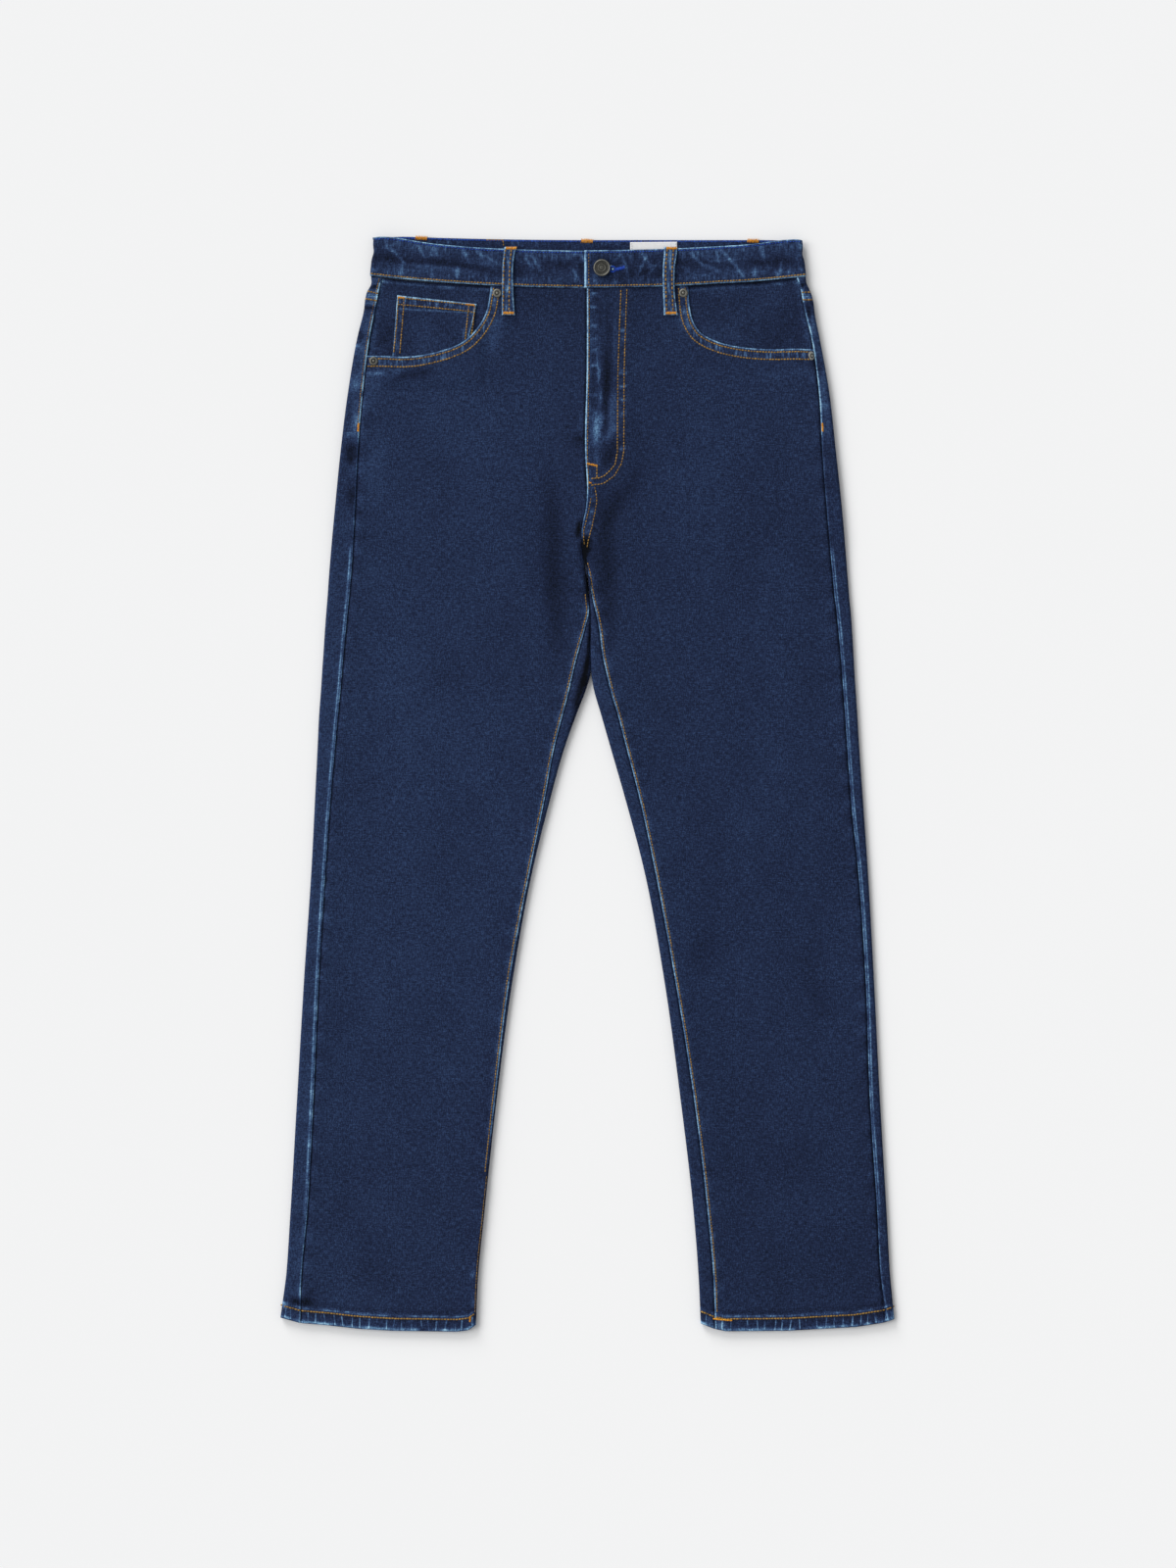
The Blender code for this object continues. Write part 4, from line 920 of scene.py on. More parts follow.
@dataclass(frozen=True)
class ThreadFinish(TwoTone):
    """Waxed sewing thread, rubbed paler here and there; reads each stitch's own tone."""

    roughness: ClassVar[float] = 0.62
    specular: ClassVar[float] = 0.35

    def wire(self, board: Board) -> dict[str, Any]:
        """Tone with soft noise, and a fine twist."""
        place = board.place()
        worn = board.less(board.add(board.noise(place, 900), 0.5, board.attribute("tone")), 0.25)
        twist = board.noise(place, 1600, 1)
        return {"base_color": self.toned(board, worn), "normal": board.bump(twist, 0.12, 0.6)}


@dataclass(frozen=True)
class MetalFinish(TwoTone):
    """Dark aged metal, paler where the mesh says that it is rubbed or carries painted light, and dull in its
    grooves.
    """

    def wire(self, board: Board) -> dict[str, Any]:
        """Spots in its colour, gloss and height."""
        spots = board.noise(board.place(), 700, 3, 0.65)
        worn = board.add(board.less(spots, 0.5), 0.9, board.attribute("rub"))
        return {
            "metallic": 0.85, "base_color": self.toned(board, worn),
            "roughness": board.add(spots, 0.3, 0.34), "normal": board.bump(spots, 0.1, 0.5),
        }


@dataclass(frozen=True)
class TapeFinish(TwoTone):
    """Fine plain woven tape, whose weave is one sine across times one along."""

    rib: float
    roughness: ClassVar[float] = 0.8
    specular: ClassVar[float] = 0.3

    def wire(self, board: Board) -> dict[str, Any]:
        """Half the weave and half soft blotches."""
        cloth = board.attribute("cloth", "Vector")
        turn = 2 * math.pi / self.rib
        over, along = (board.math("SINE", board.times(part, turn)) for part in board.split(cloth)[:2])
        weave = board.add(board.times(over, along), 0.3, 0.5)
        blotches = board.noise(board.stretched(cloth, 0.3, 0.3), 1, 3)
        tone = board.add(blotches, 0.5, board.times(weave, 0.5))
        return {"base_color": self.toned(board, tone), "normal": board.bump(weave, 0.08, 0.7)}


@dataclass(frozen=True)
class TableFinish(TwoTone):
    """The pale table, matt, with the faintest mottling."""

    roughness: ClassVar[float] = 0.95
    specular: ClassVar[float] = 0.0

    def wire(self, board: Board) -> dict[str, Any]:
        """Mottling alone."""
        return {"base_color": self.toned(board, board.noise(board.place(), 3))}


# Denim colour by lightness; the darkest stop is there for the strongest painted shade, as in the fork
DENIM_STOPS = (
    (0, (5, 8, 15)), (0.15, (17, 24, 42)), (0.3, (29, 39, 66)), (0.5, (50, 70, 106)),
    (0.75, (88, 124, 160)), (1, (150, 190, 216)),
)
REVERSE_STOPS = ((0, (44, 54, 76)), (0.5, (92, 103, 124)), (1, (150, 160, 174)))
FINISHES = (
    DenimFinish("indigo_denim", 0.312, DENIM_STOPS),
    DenimFinish("denim_reverse", 0.35, REVERSE_STOPS),
    ThreadFinish("thread_orange", (90, 67, 26), (168, 131, 60)),
    ThreadFinish("thread_tack", (184, 116, 18), (242, 174, 46)),
    ThreadFinish("thread_blue", (14, 46, 132), (34, 88, 206)),
    ThreadFinish("thread_white", (180, 180, 178), (232, 232, 230)),
    ThreadFinish("thread_pale", (104, 160, 214), (190, 226, 244)),
    MetalFinish("button_metal", (42, 42, 40), (118, 117, 110)),
    # A paler copy of the aged metal: painted light for a rivet that is tilted away from the lights
    MetalFinish("worn_metal", (58, 58, 56), (196, 194, 186)),
    TapeFinish("zip_cloth", (20, 24, 38), (44, 50, 72), 0.9),
    TapeFinish("label_cloth", (206, 206, 206), (240, 240, 240), 0.7),
    TableFinish("table_top", (243, 243, 243), (244, 244, 244)),
)


class Thread(Enum):
    """The sewing threads, by their finish."""

    ORANGE = "thread_orange"
    TACK = "thread_tack"
    BLUE = "thread_blue"
    WHITE = "thread_white"
    PALE = "thread_pale"


# Meshes


class WearAndShade(NamedTuple):
    """How a piece's cloth is worn and shaded: rub, streak and rope from 0 to 1; shade from -1, darker, to 1,
    which holds painted light and shade as well as random tone.
    """

    rub: Array | float = 0
    streak: Array | float = 0
    shade: Array | float = 0
    rope: Array | float = 0


def painted_light_and_tone(x: Array, y: Array) -> Array:
    """Large changes of tone: painted light, paler on the right leg at -X, the side the light comes from;
    darker down to the hems; and the cloth's own random tone.
    """
    # Painted light: paler towards -X; then darker towards the hems
    fall = -0.0008 * x - 0.18 * (1 - ramp(-540, -20, y))
    return fall + 0.2 * Unevenness(21, 34, 50).at(x, y)


def hem_wear_and_shade(x: Array, hem: Array) -> tuple[Array, Array, Array]:
    """A hem's wear, and painted shade just under its row of stitches.

    Args:
        x: along the hem.
        hem: height over its lower edge.

    Returns:
        Pale places: its lower edge, in spots, and a broken line over its row of stitches. Dark places:
            blotches under that row, painted shade in a thin line just under it, and a soft band over it.
            Where it is roped: under the row.
    """
    edge = np.clip(0.4 + 0.42 * Unevenness(31, 6).at(x), 0, 1)
    line = np.clip(0.5 + 0.6 * Unevenness(33, 5).at(x), 0, 1)
    rub = edge * bell(hem, 1.4, 1.7) + 0.58 * line * bell(hem, HEM_STITCH + 2.6, 0.9)
    blotches = np.clip(0.4 + 0.8 * Unevenness(35, 5).at(x), 0, 1.2)
    # Painted shade: the thin dark line just under the row of stitches
    dark = blotches * bell(hem, HEM_STITCH - 3, 2.2) + 0.6 * bell(hem, HEM_STITCH - 1.5, 0.8)
    dark += 0.6 * bell(hem, HEM_STITCH + 6.6, 2.6)
    return rub, dark, ramp(0.6, 2, hem) * (1 - ramp(HEM_STITCH - 2, HEM_STITCH - 0.6, hem))


def grid_faces(rows: int, columns: int) -> Array:
    """Quads of a grid stored row by row, facing up where columns run along +X and rows along +Y."""
    corner = np.arange(rows * columns).reshape(rows, columns)
    quads = np.stack([corner[:-1, :-1], corner[:-1, 1:], corner[1:, 1:], corner[1:, :-1]], axis=-1)
    return quads.reshape(-1, 4)


def new_mesh(name: str, points: Array, faces: Sequence[Sequence[int]]) -> bpy.types.Mesh:
    """A smooth mesh in metres, from points in millimetres."""
    mesh = bpy.data.meshes.new(name)
    mesh.from_pydata((points.reshape(-1, 3) * MM).tolist(), [], faces)
    mesh.shade_smooth()
    return mesh


def add_values(mesh: bpy.types.Mesh, name: str, values: Array) -> None:
    """Puts one number for each point into the mesh under a name."""
    flat = np.ravel(values).astype(np.float32)
    mesh.attributes.new(name, "FLOAT", "POINT").data.foreach_set("value", flat)


def add_places(mesh: bpy.types.Mesh, name: str, places: Array) -> None:
    """Puts one place on the cloth, in millimetres, for each point into the mesh."""
    flat = joined(places[..., 0], places[..., 1], 0).ravel().astype(np.float32)
    mesh.attributes.new(name, "FLOAT_VECTOR", "POINT").data.foreach_set("vector", flat)


@dataclass
class Workshop:
    """Where finished pieces are put: each rides on the garment's one body and is reported."""

    finishes: dict[str, bpy.types.Material] = field(default_factory=dict)
    count: int = 0

    def __post_init__(self) -> None:
        """Makes every finish once."""
        for finish in FINISHES:
            self.finishes[finish.name] = finish.material()

    def put(
        self, mesh: bpy.types.Mesh, materials: Sequence[str], nodes: Sequence[str] = (), slot: str = ""
    ) -> bpy.types.Object:
        """Makes a piece of the mesh's name, dresses it and hides the solids that it stands for.

        Args:
            mesh: its mesh, in metres.
            materials: its finishes, in slot order.
            nodes: the solids that it stands for.
            slot: not used.

        Returns:
            The piece.
        """
        piece = bpy.data.objects.new(mesh.name, mesh)
        bpy.context.scene.collection.objects.link(piece)
        for material in materials:
            mesh.materials.append(self.finishes[material])
        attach(piece, "root")
        if nodes:
            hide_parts(*nodes)
        self.count += 1
        LOG.info("%s: %d faces", mesh.name, len(mesh.polygons))
        return piece


@dataclass
class Cloth:
    """A cloth piece: a grid of points on its outer face, how it is worn, and its painted light and shade."""

    node: str
    points: Array
    wear: WearAndShade = WearAndShade()
    wall: float = DENIM
    turned: bool = False
    hem: Array | None = None
    grain: Array | None = None
    rests_on: tuple[str, ...] = ("table",)
    held: str = "laid"
    slot: str = "denim"
    materials: tuple[str, ...] = BOTH_FACES
    offset: tuple[float, float] = (0, 0)

    def cut(self) -> tuple[tuple[float, float], float]:
        """The flat cut in metres: its longest row and column, and the sum of its quads' areas."""
        over = float(lengths_along(self.points, 1)[:, -1].max()) * MM
        up = float(lengths_along(self.points, 0)[-1].max()) * MM
        first = self.points[1:, 1:] - self.points[:-1, :-1]
        second = self.points[1:, :-1] - self.points[:-1, 1:]
        area = 0.5 * float(np.linalg.norm(np.cross(first, second), axis=-1).sum()) * MM**2
        return (over, up), min(area, over * up)

    def build(self, workshop: Workshop) -> None:
        shape = self.points.shape[:2]
        faces = grid_faces(*shape)
        if self.turned:
            faces = faces[:, ::-1]
        mesh = new_mesh(f"{self.node}_cloth", self.points, faces.tolist())
        add_places(mesh, "cloth", (self.points if self.grain is None else self.grain)[..., :2] + self.offset)
        for name, values in self.wear._asdict().items():
            values = values if name == "shade" else np.clip(values, 0, 1)
            add_values(mesh, name, np.broadcast_to(values, shape))
        piece = workshop.put(mesh, self.materials, [self.node], self.slot)
        wall = piece.modifiers.new("wall", "SOLIDIFY")
        wall.thickness = self.wall * MM
        wall.offset = -1
        wall.use_even_offset = False
        wall.material_offset = len(self.materials) - 1
        if self.hem is not None:
            self.thicken(piece, wall)
        flat, area = self.cut()
        list(self.rests_on)

    def thicken(self, piece: bpy.types.Object, wall: bpy.types.Modifier) -> None:
        """Keeps the full wall in the hem, and a single layer above it."""
        group = piece.vertex_groups.new(name="hem")
        group.add(list(range(self.hem.size)), 0, "REPLACE")
        group.add(np.flatnonzero(self.hem).tolist(), 1, "REPLACE")
        wall.vertex_group = "hem"
        wall.thickness_vertex_group = DENIM / self.wall


BEAD_ALONG = np.array([-0.5, -0.32, 0.0, 0.32, 0.5])
BEAD_RING = np.array([[1.0, 0.0], [0.0, 1.0], [-1.0, 0.0], [0.0, -1.0]])
BEAD_SIZE = np.array([0.85, 1.0, 0.85])
BEAD_POINTS = 14
BEAD_BELOW = 0.4
BEAD_LIFT = 0.1
END_DEPTH = 0.12

# A sewer's small unevenness: in place, in direction and in length
PLACE_SPREAD = 0.08
TURN_SPREAD = 0.05
LENGTH_RANGE = (0.88, 1.08)


def bead_faces() -> list[tuple[int, ...]]:
    """Faces of one bead: point 0 is its first end, 1 to 12 are three rings of four, 13 its last end."""
    faces: list[tuple[int, ...]] = []
    for k in range(4):
        after = (k + 1) % 4
        faces += [(0, 1 + after, 1 + k), (13, 9 + k, 9 + after)]
        faces += [(ring + k, ring + after, ring + 4 + after, ring + 4 + k) for ring in (1, 5)]
    return faces


@dataclass
class Sewing:
    """All stitches of one thread on one piece, as one mesh of small beads that dip in at their ends."""

    name: str
    thread: Thread
    surface: Surface
    seed: int
    facing: float = 1.0
    sunk: float = 0.0
    groups: list[tuple[Array, Array, float, float, float]] = field(default_factory=list)

    def row(
        self, path: Path, pitch: float = STITCH_PITCH, length: float = STITCH_LENGTH,
        width: float = THREAD_WIDTH,
    ) -> Sewing:
        """A row of running stitches along a path seen from above."""
        self.groups.append((*spaced(np.array(path, float), pitch), length, width, THREAD_HEIGHT))
        return self

    def satin(self, path: Path, breadth: float = 2.2, pitch: float = 0.62, height: float = 0.55) -> Sewing:
        """Close stitches across a path, each leaning a little the other way than the one before."""
        place, way = spaced(np.array(path, float), pitch)
        lean = np.where(np.arange(len(place)) % 2 == 0, 0.22, -0.22)
        across = joined(-way[:, 1] + lean * way[:, 0], way[:, 0] + lean * way[:, 1])
        across /= np.linalg.norm(across, axis=1)[:, None]
        self.groups.append((place, across, breadth, 0.8, height))
        return self

    def points(self, rng: np.random.Generator) -> Array:
        """Points (beads, 14, xyz): two ends and three rings of four round the stitch's line."""
        made = []
        for place, way, length, width, height in self.groups:
            place = place + rng.normal(0, PLACE_SPREAD, place.shape)
            turned = rng.normal(0, TURN_SPREAD, len(place))
            way = joined(way[:, 0] - turned * way[:, 1], way[:, 1] + turned * way[:, 0])
            lengths = length * rng.uniform(*LENGTH_RANGE, len(place))
            along = place[:, None, :] + BEAD_ALONG[:, None] * lengths[:, None, None] * way[:, None, :]
            base = self.surface(along[..., 0], along[..., 1]) - self.sunk * self.facing
            side = joined(-way[:, 1], way[:, 0])
            over = BEAD_SIZE[:, None] * BEAD_RING[:, 0] * width / 2
            up = BEAD_SIZE[:, None] * np.where(BEAD_RING[:, 1] > 0, 1, BEAD_BELOW) * BEAD_RING[:, 1] * height
            rings = np.empty((len(place), 3, 4, 3))
            rings[..., :2] = along[:, 1:4, None, :] + over[..., None] * side[:, None, None, :]
            rings[..., 2] = base[:, 1:4, None] + self.facing * (up + BEAD_LIFT)
            tips = base[:, [0, 4]] - self.facing * END_DEPTH
            ends = joined(along[:, [0, 4], 0], along[:, [0, 4], 1], tips)
            made.append(np.concatenate([ends[:, :1], rings.reshape(-1, 12, 3), ends[:, 1:]], axis=1))
        return np.concatenate(made)

    def build(self, workshop: Workshop) -> bpy.types.Object:
        """Joins all beads into one mesh with a tone for each."""
        rng = np.random.default_rng(self.seed)
        points = self.points(rng)
        count = len(points)
        step = -1 if self.facing < 0 else 1
        bead = [face[::step] for face in bead_faces()]
        firsts = range(0, BEAD_POINTS * count, BEAD_POINTS)
        faces = [tuple(first + corner for corner in face) for first in firsts for face in bead]
        mesh = new_mesh(self.name, points, faces)
        tone = np.clip(rng.normal(0.5, 0.2, count), 0, 1)
        add_values(mesh, "tone", np.repeat(tone, BEAD_POINTS))
        return workshop.put(mesh, [self.thread.value])


def flat(height: float) -> Surface:
    """A level face at a height."""
    return lambda x, y: np.full(np.broadcast(x, y).shape, height)


def rows_and_tacks(name: str, surface: Surface, seed: int, under: bool = False) -> tuple[Sewing, Sewing]:
    """A piece's rows and its tacks; under is for a face that looks down, where rows sink in a little."""
    facing, sunk = (-1, 0.15) if under else (1, 0)
    rows = Sewing(f"stitches_{name}", Thread.ORANGE, surface, seed, facing, sunk)
    return rows, Sewing(f"tacks_{name}", Thread.TACK, surface, seed + 1, facing)


class Piece:
    """One of the maker's pieces: its cloth, and what is sewn on it."""

    def cloth(self) -> Cloth | None:
        """Its cloth."""
        return None

    def sewing(self) -> Sequence[Sewing]:
        """Its stitches."""
        return ()

    def build(self, workshop: Workshop) -> None:
        """Puts its cloth in place."""
        cloth = self.cloth()
        if cloth:
            cloth.build(workshop)

    def dress(self, workshop: Workshop) -> None:
        """Puts its stitches in place."""
        for sewing in self.sewing():
            sewing.build(workshop)


# Panels

EDGE_STEPS = np.array([0.0, 0.4, 0.8, 1.3, 1.9, 2.6, 3.5, 4.6, 6.0, 7.8, 9.2, 10.1, 10.9, 11.7, 12.6])
HEM_STEPS = np.array([
    0, 0.4, 0.9, 1.6, 2.6, 3.8, 5, 6.2, 7.4, 8.6, 9.8, 10.9, 11.8, 12.6, 13.4, 14.3, 15.4, 16.8,
    18.6, 21, 24, 27.4,
])
LEG_STEP = 4.0
OPENING_COLUMNS = 46
WAIST_COLUMNS = 32
OPENING_SHARES = np.concatenate(
    [np.linspace(0, 0.9, 46), 1 - np.array([0.085, 0.07, 0.056, 0.044, 0.034, 0.025, 0.017, 0.009, 0])]
)
BACK_GRAIN = 400.0
YOKE_GRAIN = 600.0


def leg_levels(top: float) -> Array:
    """Levels of a panel from the hem to a height: close in the hem, then even."""
    start = HEM_Y + HEM_STEPS[-1]
    count = int(round((top - start) / LEG_STEP))
    return np.concatenate([HEM_Y + HEM_STEPS, np.linspace(start, top, count + 1)[1:]])


# The fly's rows: its double curve, the row on its edge, and the double row down to the crotch
FLY_ROWS = (
    (
        (33.7, 504), (32.4, 470), (30.6, 420), (30, 338), (27.6, 326), (22.4, 319.4),
        (17, 314.6), (11.6, 312.2), (3, 311.4),
    ),
    (
        (39.7, 505), (38.4, 470), (36.9, 420), (36.7, 340), (34.3, 327), (26.7, 314),
        (16, 306.6), (3, 304.6),
    ),
    ((1.2, 505), (0.9, 420), (-0.6, 340), (0.4, 312), (0.9, 300)),
    ((3, 292), (1, 280), (-1.4, 270), (-4.4, 258), (-4.2, 250), (-3.4, 244)),
    ((7, 303), (9, 290), (7.8, 280), (4, 262), (-0.2, 246), (-1, 241)),
)
FLY_WIDTHS = (1.4, 1.4, 0.9, 1.1, 1.2)


@dataclass
class FrontPanel(Piece):
    """A front leg panel, from the hem to the pocket opening and the waistband."""

    leg: Leg

    def surface(self, x: Array, y: Array) -> Array:
        """The panel's height."""
        return self.leg.front(self.leg.side * x, y)

    def plan(self) -> tuple[Array, Array]:
        """Reaches and levels of the panel's grid.

        Columns are close at both edges, and the upper rows turn from level to the pocket's curve
        and the waist.
        """
        leg = self.leg
        levels = leg_levels(HIP_Y)[:, None]
        first = leg.outer_edge(levels) - EDGE_STEPS
        last = (leg.inner_edge(levels) + EDGE_STEPS)[:, ::-1]
        share = np.linspace(0, 1, OPENING_COLUMNS + WAIST_COLUMNS + 2)[1:-1]
        middle = first[:, -1:] + share * (last[:, :1] - first[:, -1:])
        reach = np.concatenate([first, middle, last], axis=1)
        y = leg.hem_shaped(levels, leg.across(reach, levels))
        top_reach, top_y = self.top_edge()
        across = np.linspace(0, 1, len(top_reach))
        share = OPENING_SHARES[1:, None]
        upper_reach = reach[-1] + share * (top_reach - reach[-1])
        upper_y = HIP_Y + share * (top_y - HIP_Y)
        side_pull = leg.outer_edge(upper_y[:, :1]) - upper_reach[:, :1]
        inner_pull = leg.inner_edge(upper_y[:, -1:]) - upper_reach[:, -1:]
        upper_reach = upper_reach + side_pull * (1 - across) ** 4 + inner_pull * across**4
        return np.concatenate([reach, upper_reach]), np.concatenate([y, upper_y])

    def top_edge(self) -> Array:
        """The panel's upper edge, along the pocket opening and then along the waistband."""
        curve = self.leg.opening_curve(count=400)
        length = lengths_along(curve, 0)
        rest = np.linspace(EDGE_STEPS[-1], length[-1], OPENING_COLUMNS + 1)[1:]
        inner = float(self.leg.inner_edge(506.5))
        waist = np.linspace(self.leg.opening_waist, inner + EDGE_STEPS[-1], WAIST_COLUMNS + 2)[1:-1]
        reach = np.concatenate([waist, (inner + EDGE_STEPS)[::-1]])
        opening = at_lengths(curve, length, np.concatenate([EDGE_STEPS, rest]))
        return np.concatenate([opening, joined(reach, front_waist_y(reach) - SEAM_GAP)]).T

    def wear(self, reach: Array, y: Array) -> WearAndShade:
        """Rubbed on its edges, the fly and the pocket's edge; streaked in the hem and the welt; painted shade
        in hollows, beside the side seam and, on the right panel, beside the fly's edge.
        """
        leg = self.leg
        x = leg.side * reach
        side = leg.outer_edge(y) - reach
        seam = reach - leg.inner_edge(y)
        opening, _along = leg.opening_distance(reach, y)
        hem = leg.over_hem(reach, y)
        hem_rub, hem_dark, rope = hem_wear_and_shade(x, hem)
        above = ramp(CROTCH_Y, CROTCH_Y + 25, y)
        ridge = 0.8 + 0.2 * Unevenness(leg.seed + 20, 9, 16).at(x, y)
        if leg.is_right:
            shows = (1 - ramp(180, 188, y)) * ramp(-390, -330, y)
        else:
            shows = 1 + above * (0.7 * ramp(290, 312, y) - 0.2)
        shows = shows * (1 - ramp(214, 224, y) * (1 - ramp(246, 258, y)))
        rub = shows * ridge * (0.85 * bell(seam, 0.8, 0.8) + 0.12 * bell(seam, 4, 1.6)) + hem_rub
        rub += (0.64 + 0.3 * Unevenness(leg.seed + 23, 5, 5).at(x, y)) * bell(opening, 0.8, 0.85)
        beside = 1 - ramp(leg.opening_side_y - 8, leg.opening_side_y, y)
        crests = leg.side_puckers(y, side) * beside + leg.inseam_puckers(y, seam) * (1 - above)
        rub += 0.1 * np.clip(crests, 0, 1) + marked(FADED, x, y)
        streak = 0.45 * bell(hem, HEM_STITCH + 3.4, 2)
        streak += 0.95 * ramp(2, 4, opening) * (1 - ramp(9, 11.5, opening))
        # Painted light across the garment, and random tone
        shade = painted_light_and_tone(x, y) + 0.18 * Unevenness(leg.seed + 22, 9, 13).at(x, y)
        # Darker pucker troughs, and painted shade from the marked hollows, creases and the fork
        shade += 0.6 * np.clip(crests, -1, 0) - 2.4 * marked(PAINTED_SHADE, x, y)
        # Painted shadow in the gap beside the side seam's crest, and the hem's dark places
        shade -= 1.5 * beside * bell(side, 0.5, 1.1) + hem_dark
        # On the right panel, painted shadow just left of the fly's overlapping edge
        if leg.is_right:
            shade -= 2.2 * bell(x - fly_x(y), -1, 1) * ramp(292, 312, y)
        else:
            streak += 0.06 * bell(x, 14, 15) * ramp(300, 340, y)
        return WearAndShade(rub, streak, shade, rope)

    def cloth(self) -> Cloth:
        """The panel, with a thicker hem."""
        leg = self.leg
        reach, y = self.plan()
        return Cloth(
            f"front_{leg.name}", joined(leg.side * reach, y, leg.front(reach, y)), self.wear(reach, y),
            wall=HEM_DENIM, turned=not leg.is_right, hem=leg.over_hem(reach, y) < HEM_TURN,
            rests_on=(f"back_{leg.name}",),
        )

    def sewing(self) -> Sequence[Sewing]:
        """The panel's own rows: inseam, hem, pocket opening, and on the left the fly."""
        leg = self.leg
        rows, tacks = rows_and_tacks(f"front_{leg.name}", self.surface, leg.seed)
        inseam: tuple[Row, ...] = ((HEM_Y + 20, 226, 2.6, 1.3),)
        if leg.is_right:
            inseam = ((HEM_Y + 20, -400, 0.7, 0.8), (-396, 194, 2.6, 1.3))
        for low, high, beside, width in inseam:
            y = np.linspace(low, high, 200)
            rows.row(leg.path(leg.inner_edge(y) + beside, y), width=width)
        level = HEM_Y + HEM_STITCH
        start, end = leg.inner_edge(level) + 0.8, leg.outer_edge(level) - 0.4
        rows.row(leg.hem_row(start, end), length=HEM_STITCH_LENGTH, width=HEM_THREAD_WIDTH)
        for beyond in ((3.2, 3.2), (11, 8.9) if leg.is_right else (10.8, 9.9)):
            curve = leg.opening_curve(beyond=beyond, count=120)
            reach, y = curve.T
            shown = (y < front_waist_y(reach) - 1.5) & (reach < leg.outer_edge(y) - 1)
            rows.row(leg.path(*curve[shown].T))
        if leg.is_right:
            tacks.satin([(-120.2, -543.4), (-120.4, -548.8)], breadth=2)
            return rows, tacks
        for path, width in zip(FLY_ROWS, FLY_WIDTHS):
            rows.row(path, pitch=3.2, width=width)
        rows.row([(9, 325), (9.2, 312)])
        tacks.satin([(-1.2, 326.8), (9.8, 324.4)], breadth=2.6)
        tacks.satin([(0.8, 307.4), (3.4, 306.8)], breadth=2.4)
        tacks.row([(127.5, -545.6), (147, -547.4)], pitch=1.8, length=2.4, width=2)
        return rows, tacks


@dataclass
class BackSection:
    """One row of a back piece, from the side seam round the outer fold, under the leg and up again."""

    leg: Leg
    level: float
    side_count: int = 27
    under_count: int = 42
    seam_count: int = 20

    def fold(self, reach: float, angle: float, count: int) -> tuple[Array, Array, Array]:
        """Points round one fold, from the seam on the upper side to the flat underside.

        Steps are close at the seam and on the round. The cloth runs level, turns on a circle by
        the angle, and runs level again.

        Args:
            reach: how far the seam lies from the fold's edge.
            angle: how far the cloth turns.
            count: how many steps to take.

        Returns:
            Distances from the fold's edge, heights over the underside, and whether each is level above.
        """
        lip = max(reach - FOLD_RADIUS, 0) if angle == math.pi else 0
        if angle == math.pi and reach < FOLD_RADIUS:
            angle -= math.asin(1 - max(reach, 0) / FOLD_RADIUS)
        arc = FOLD_RADIUS * angle
        flat = 4 + FOLD_RADIUS * math.pi - arc
        near = min(lip, 3)
        ends = np.cumsum([0, near, lip - near, arc, flat])
        effort = np.cumsum([0, 2.4 * near, 0.8 * (lip - near), arc, 0.6 * flat]) + np.arange(5) * 1e-6
        along = np.interp(np.linspace(0, effort[-1], count + 1), effort, ends)
        crest = 1 if angle >= math.pi / 2 else math.sin(angle)
        left = np.clip(angle - (along - lip) / FOLD_RADIUS, 0, angle)
        distance = FOLD_RADIUS * (crest - np.sin(left)) + np.clip(along - lip - arc, 0, None)
        level = along < lip
        return np.where(level, reach - along, distance), FOLD_RADIUS * (1 - np.cos(left)), level

    def read(self) -> tuple[Array, Array, Array, Array]:
        """Reaches, heights over the underside, what is level above, and what is on the upper side."""
        outer, side_seam, inseam, inner = (float(self.leg.line(line, self.level)) for line in Line)
        turn = math.pi * (1 - float(ramp(CROTCH_Y, CROTCH_Y + CROTCH_TURN, self.level)))
        side = self.fold(outer - side_seam - SEAM_GAP / 2, math.pi, self.side_count)
        seam = self.fold(max(inseam - inner, SEAM_REACH) - SEAM_GAP / 2, turn, self.seam_count)
        under = np.linspace(outer - side[0][-1], inner + seam[0][-1], self.under_count)[1:-1]
        flat = (under, np.zeros(len(under)), np.zeros(len(under), bool))
        folds = ((outer - side[0], *side[1:]), flat, (inner + seam[0], *seam[1:]))
        reach, height, level = (
            np.concatenate([first, middle, last[::-1]]) for first, middle, last in zip(*folds)
        )
        on_top = (np.arange(len(reach)) <= self.side_count) & (height > FOLD_RADIUS)
        return reach, height, level, on_top


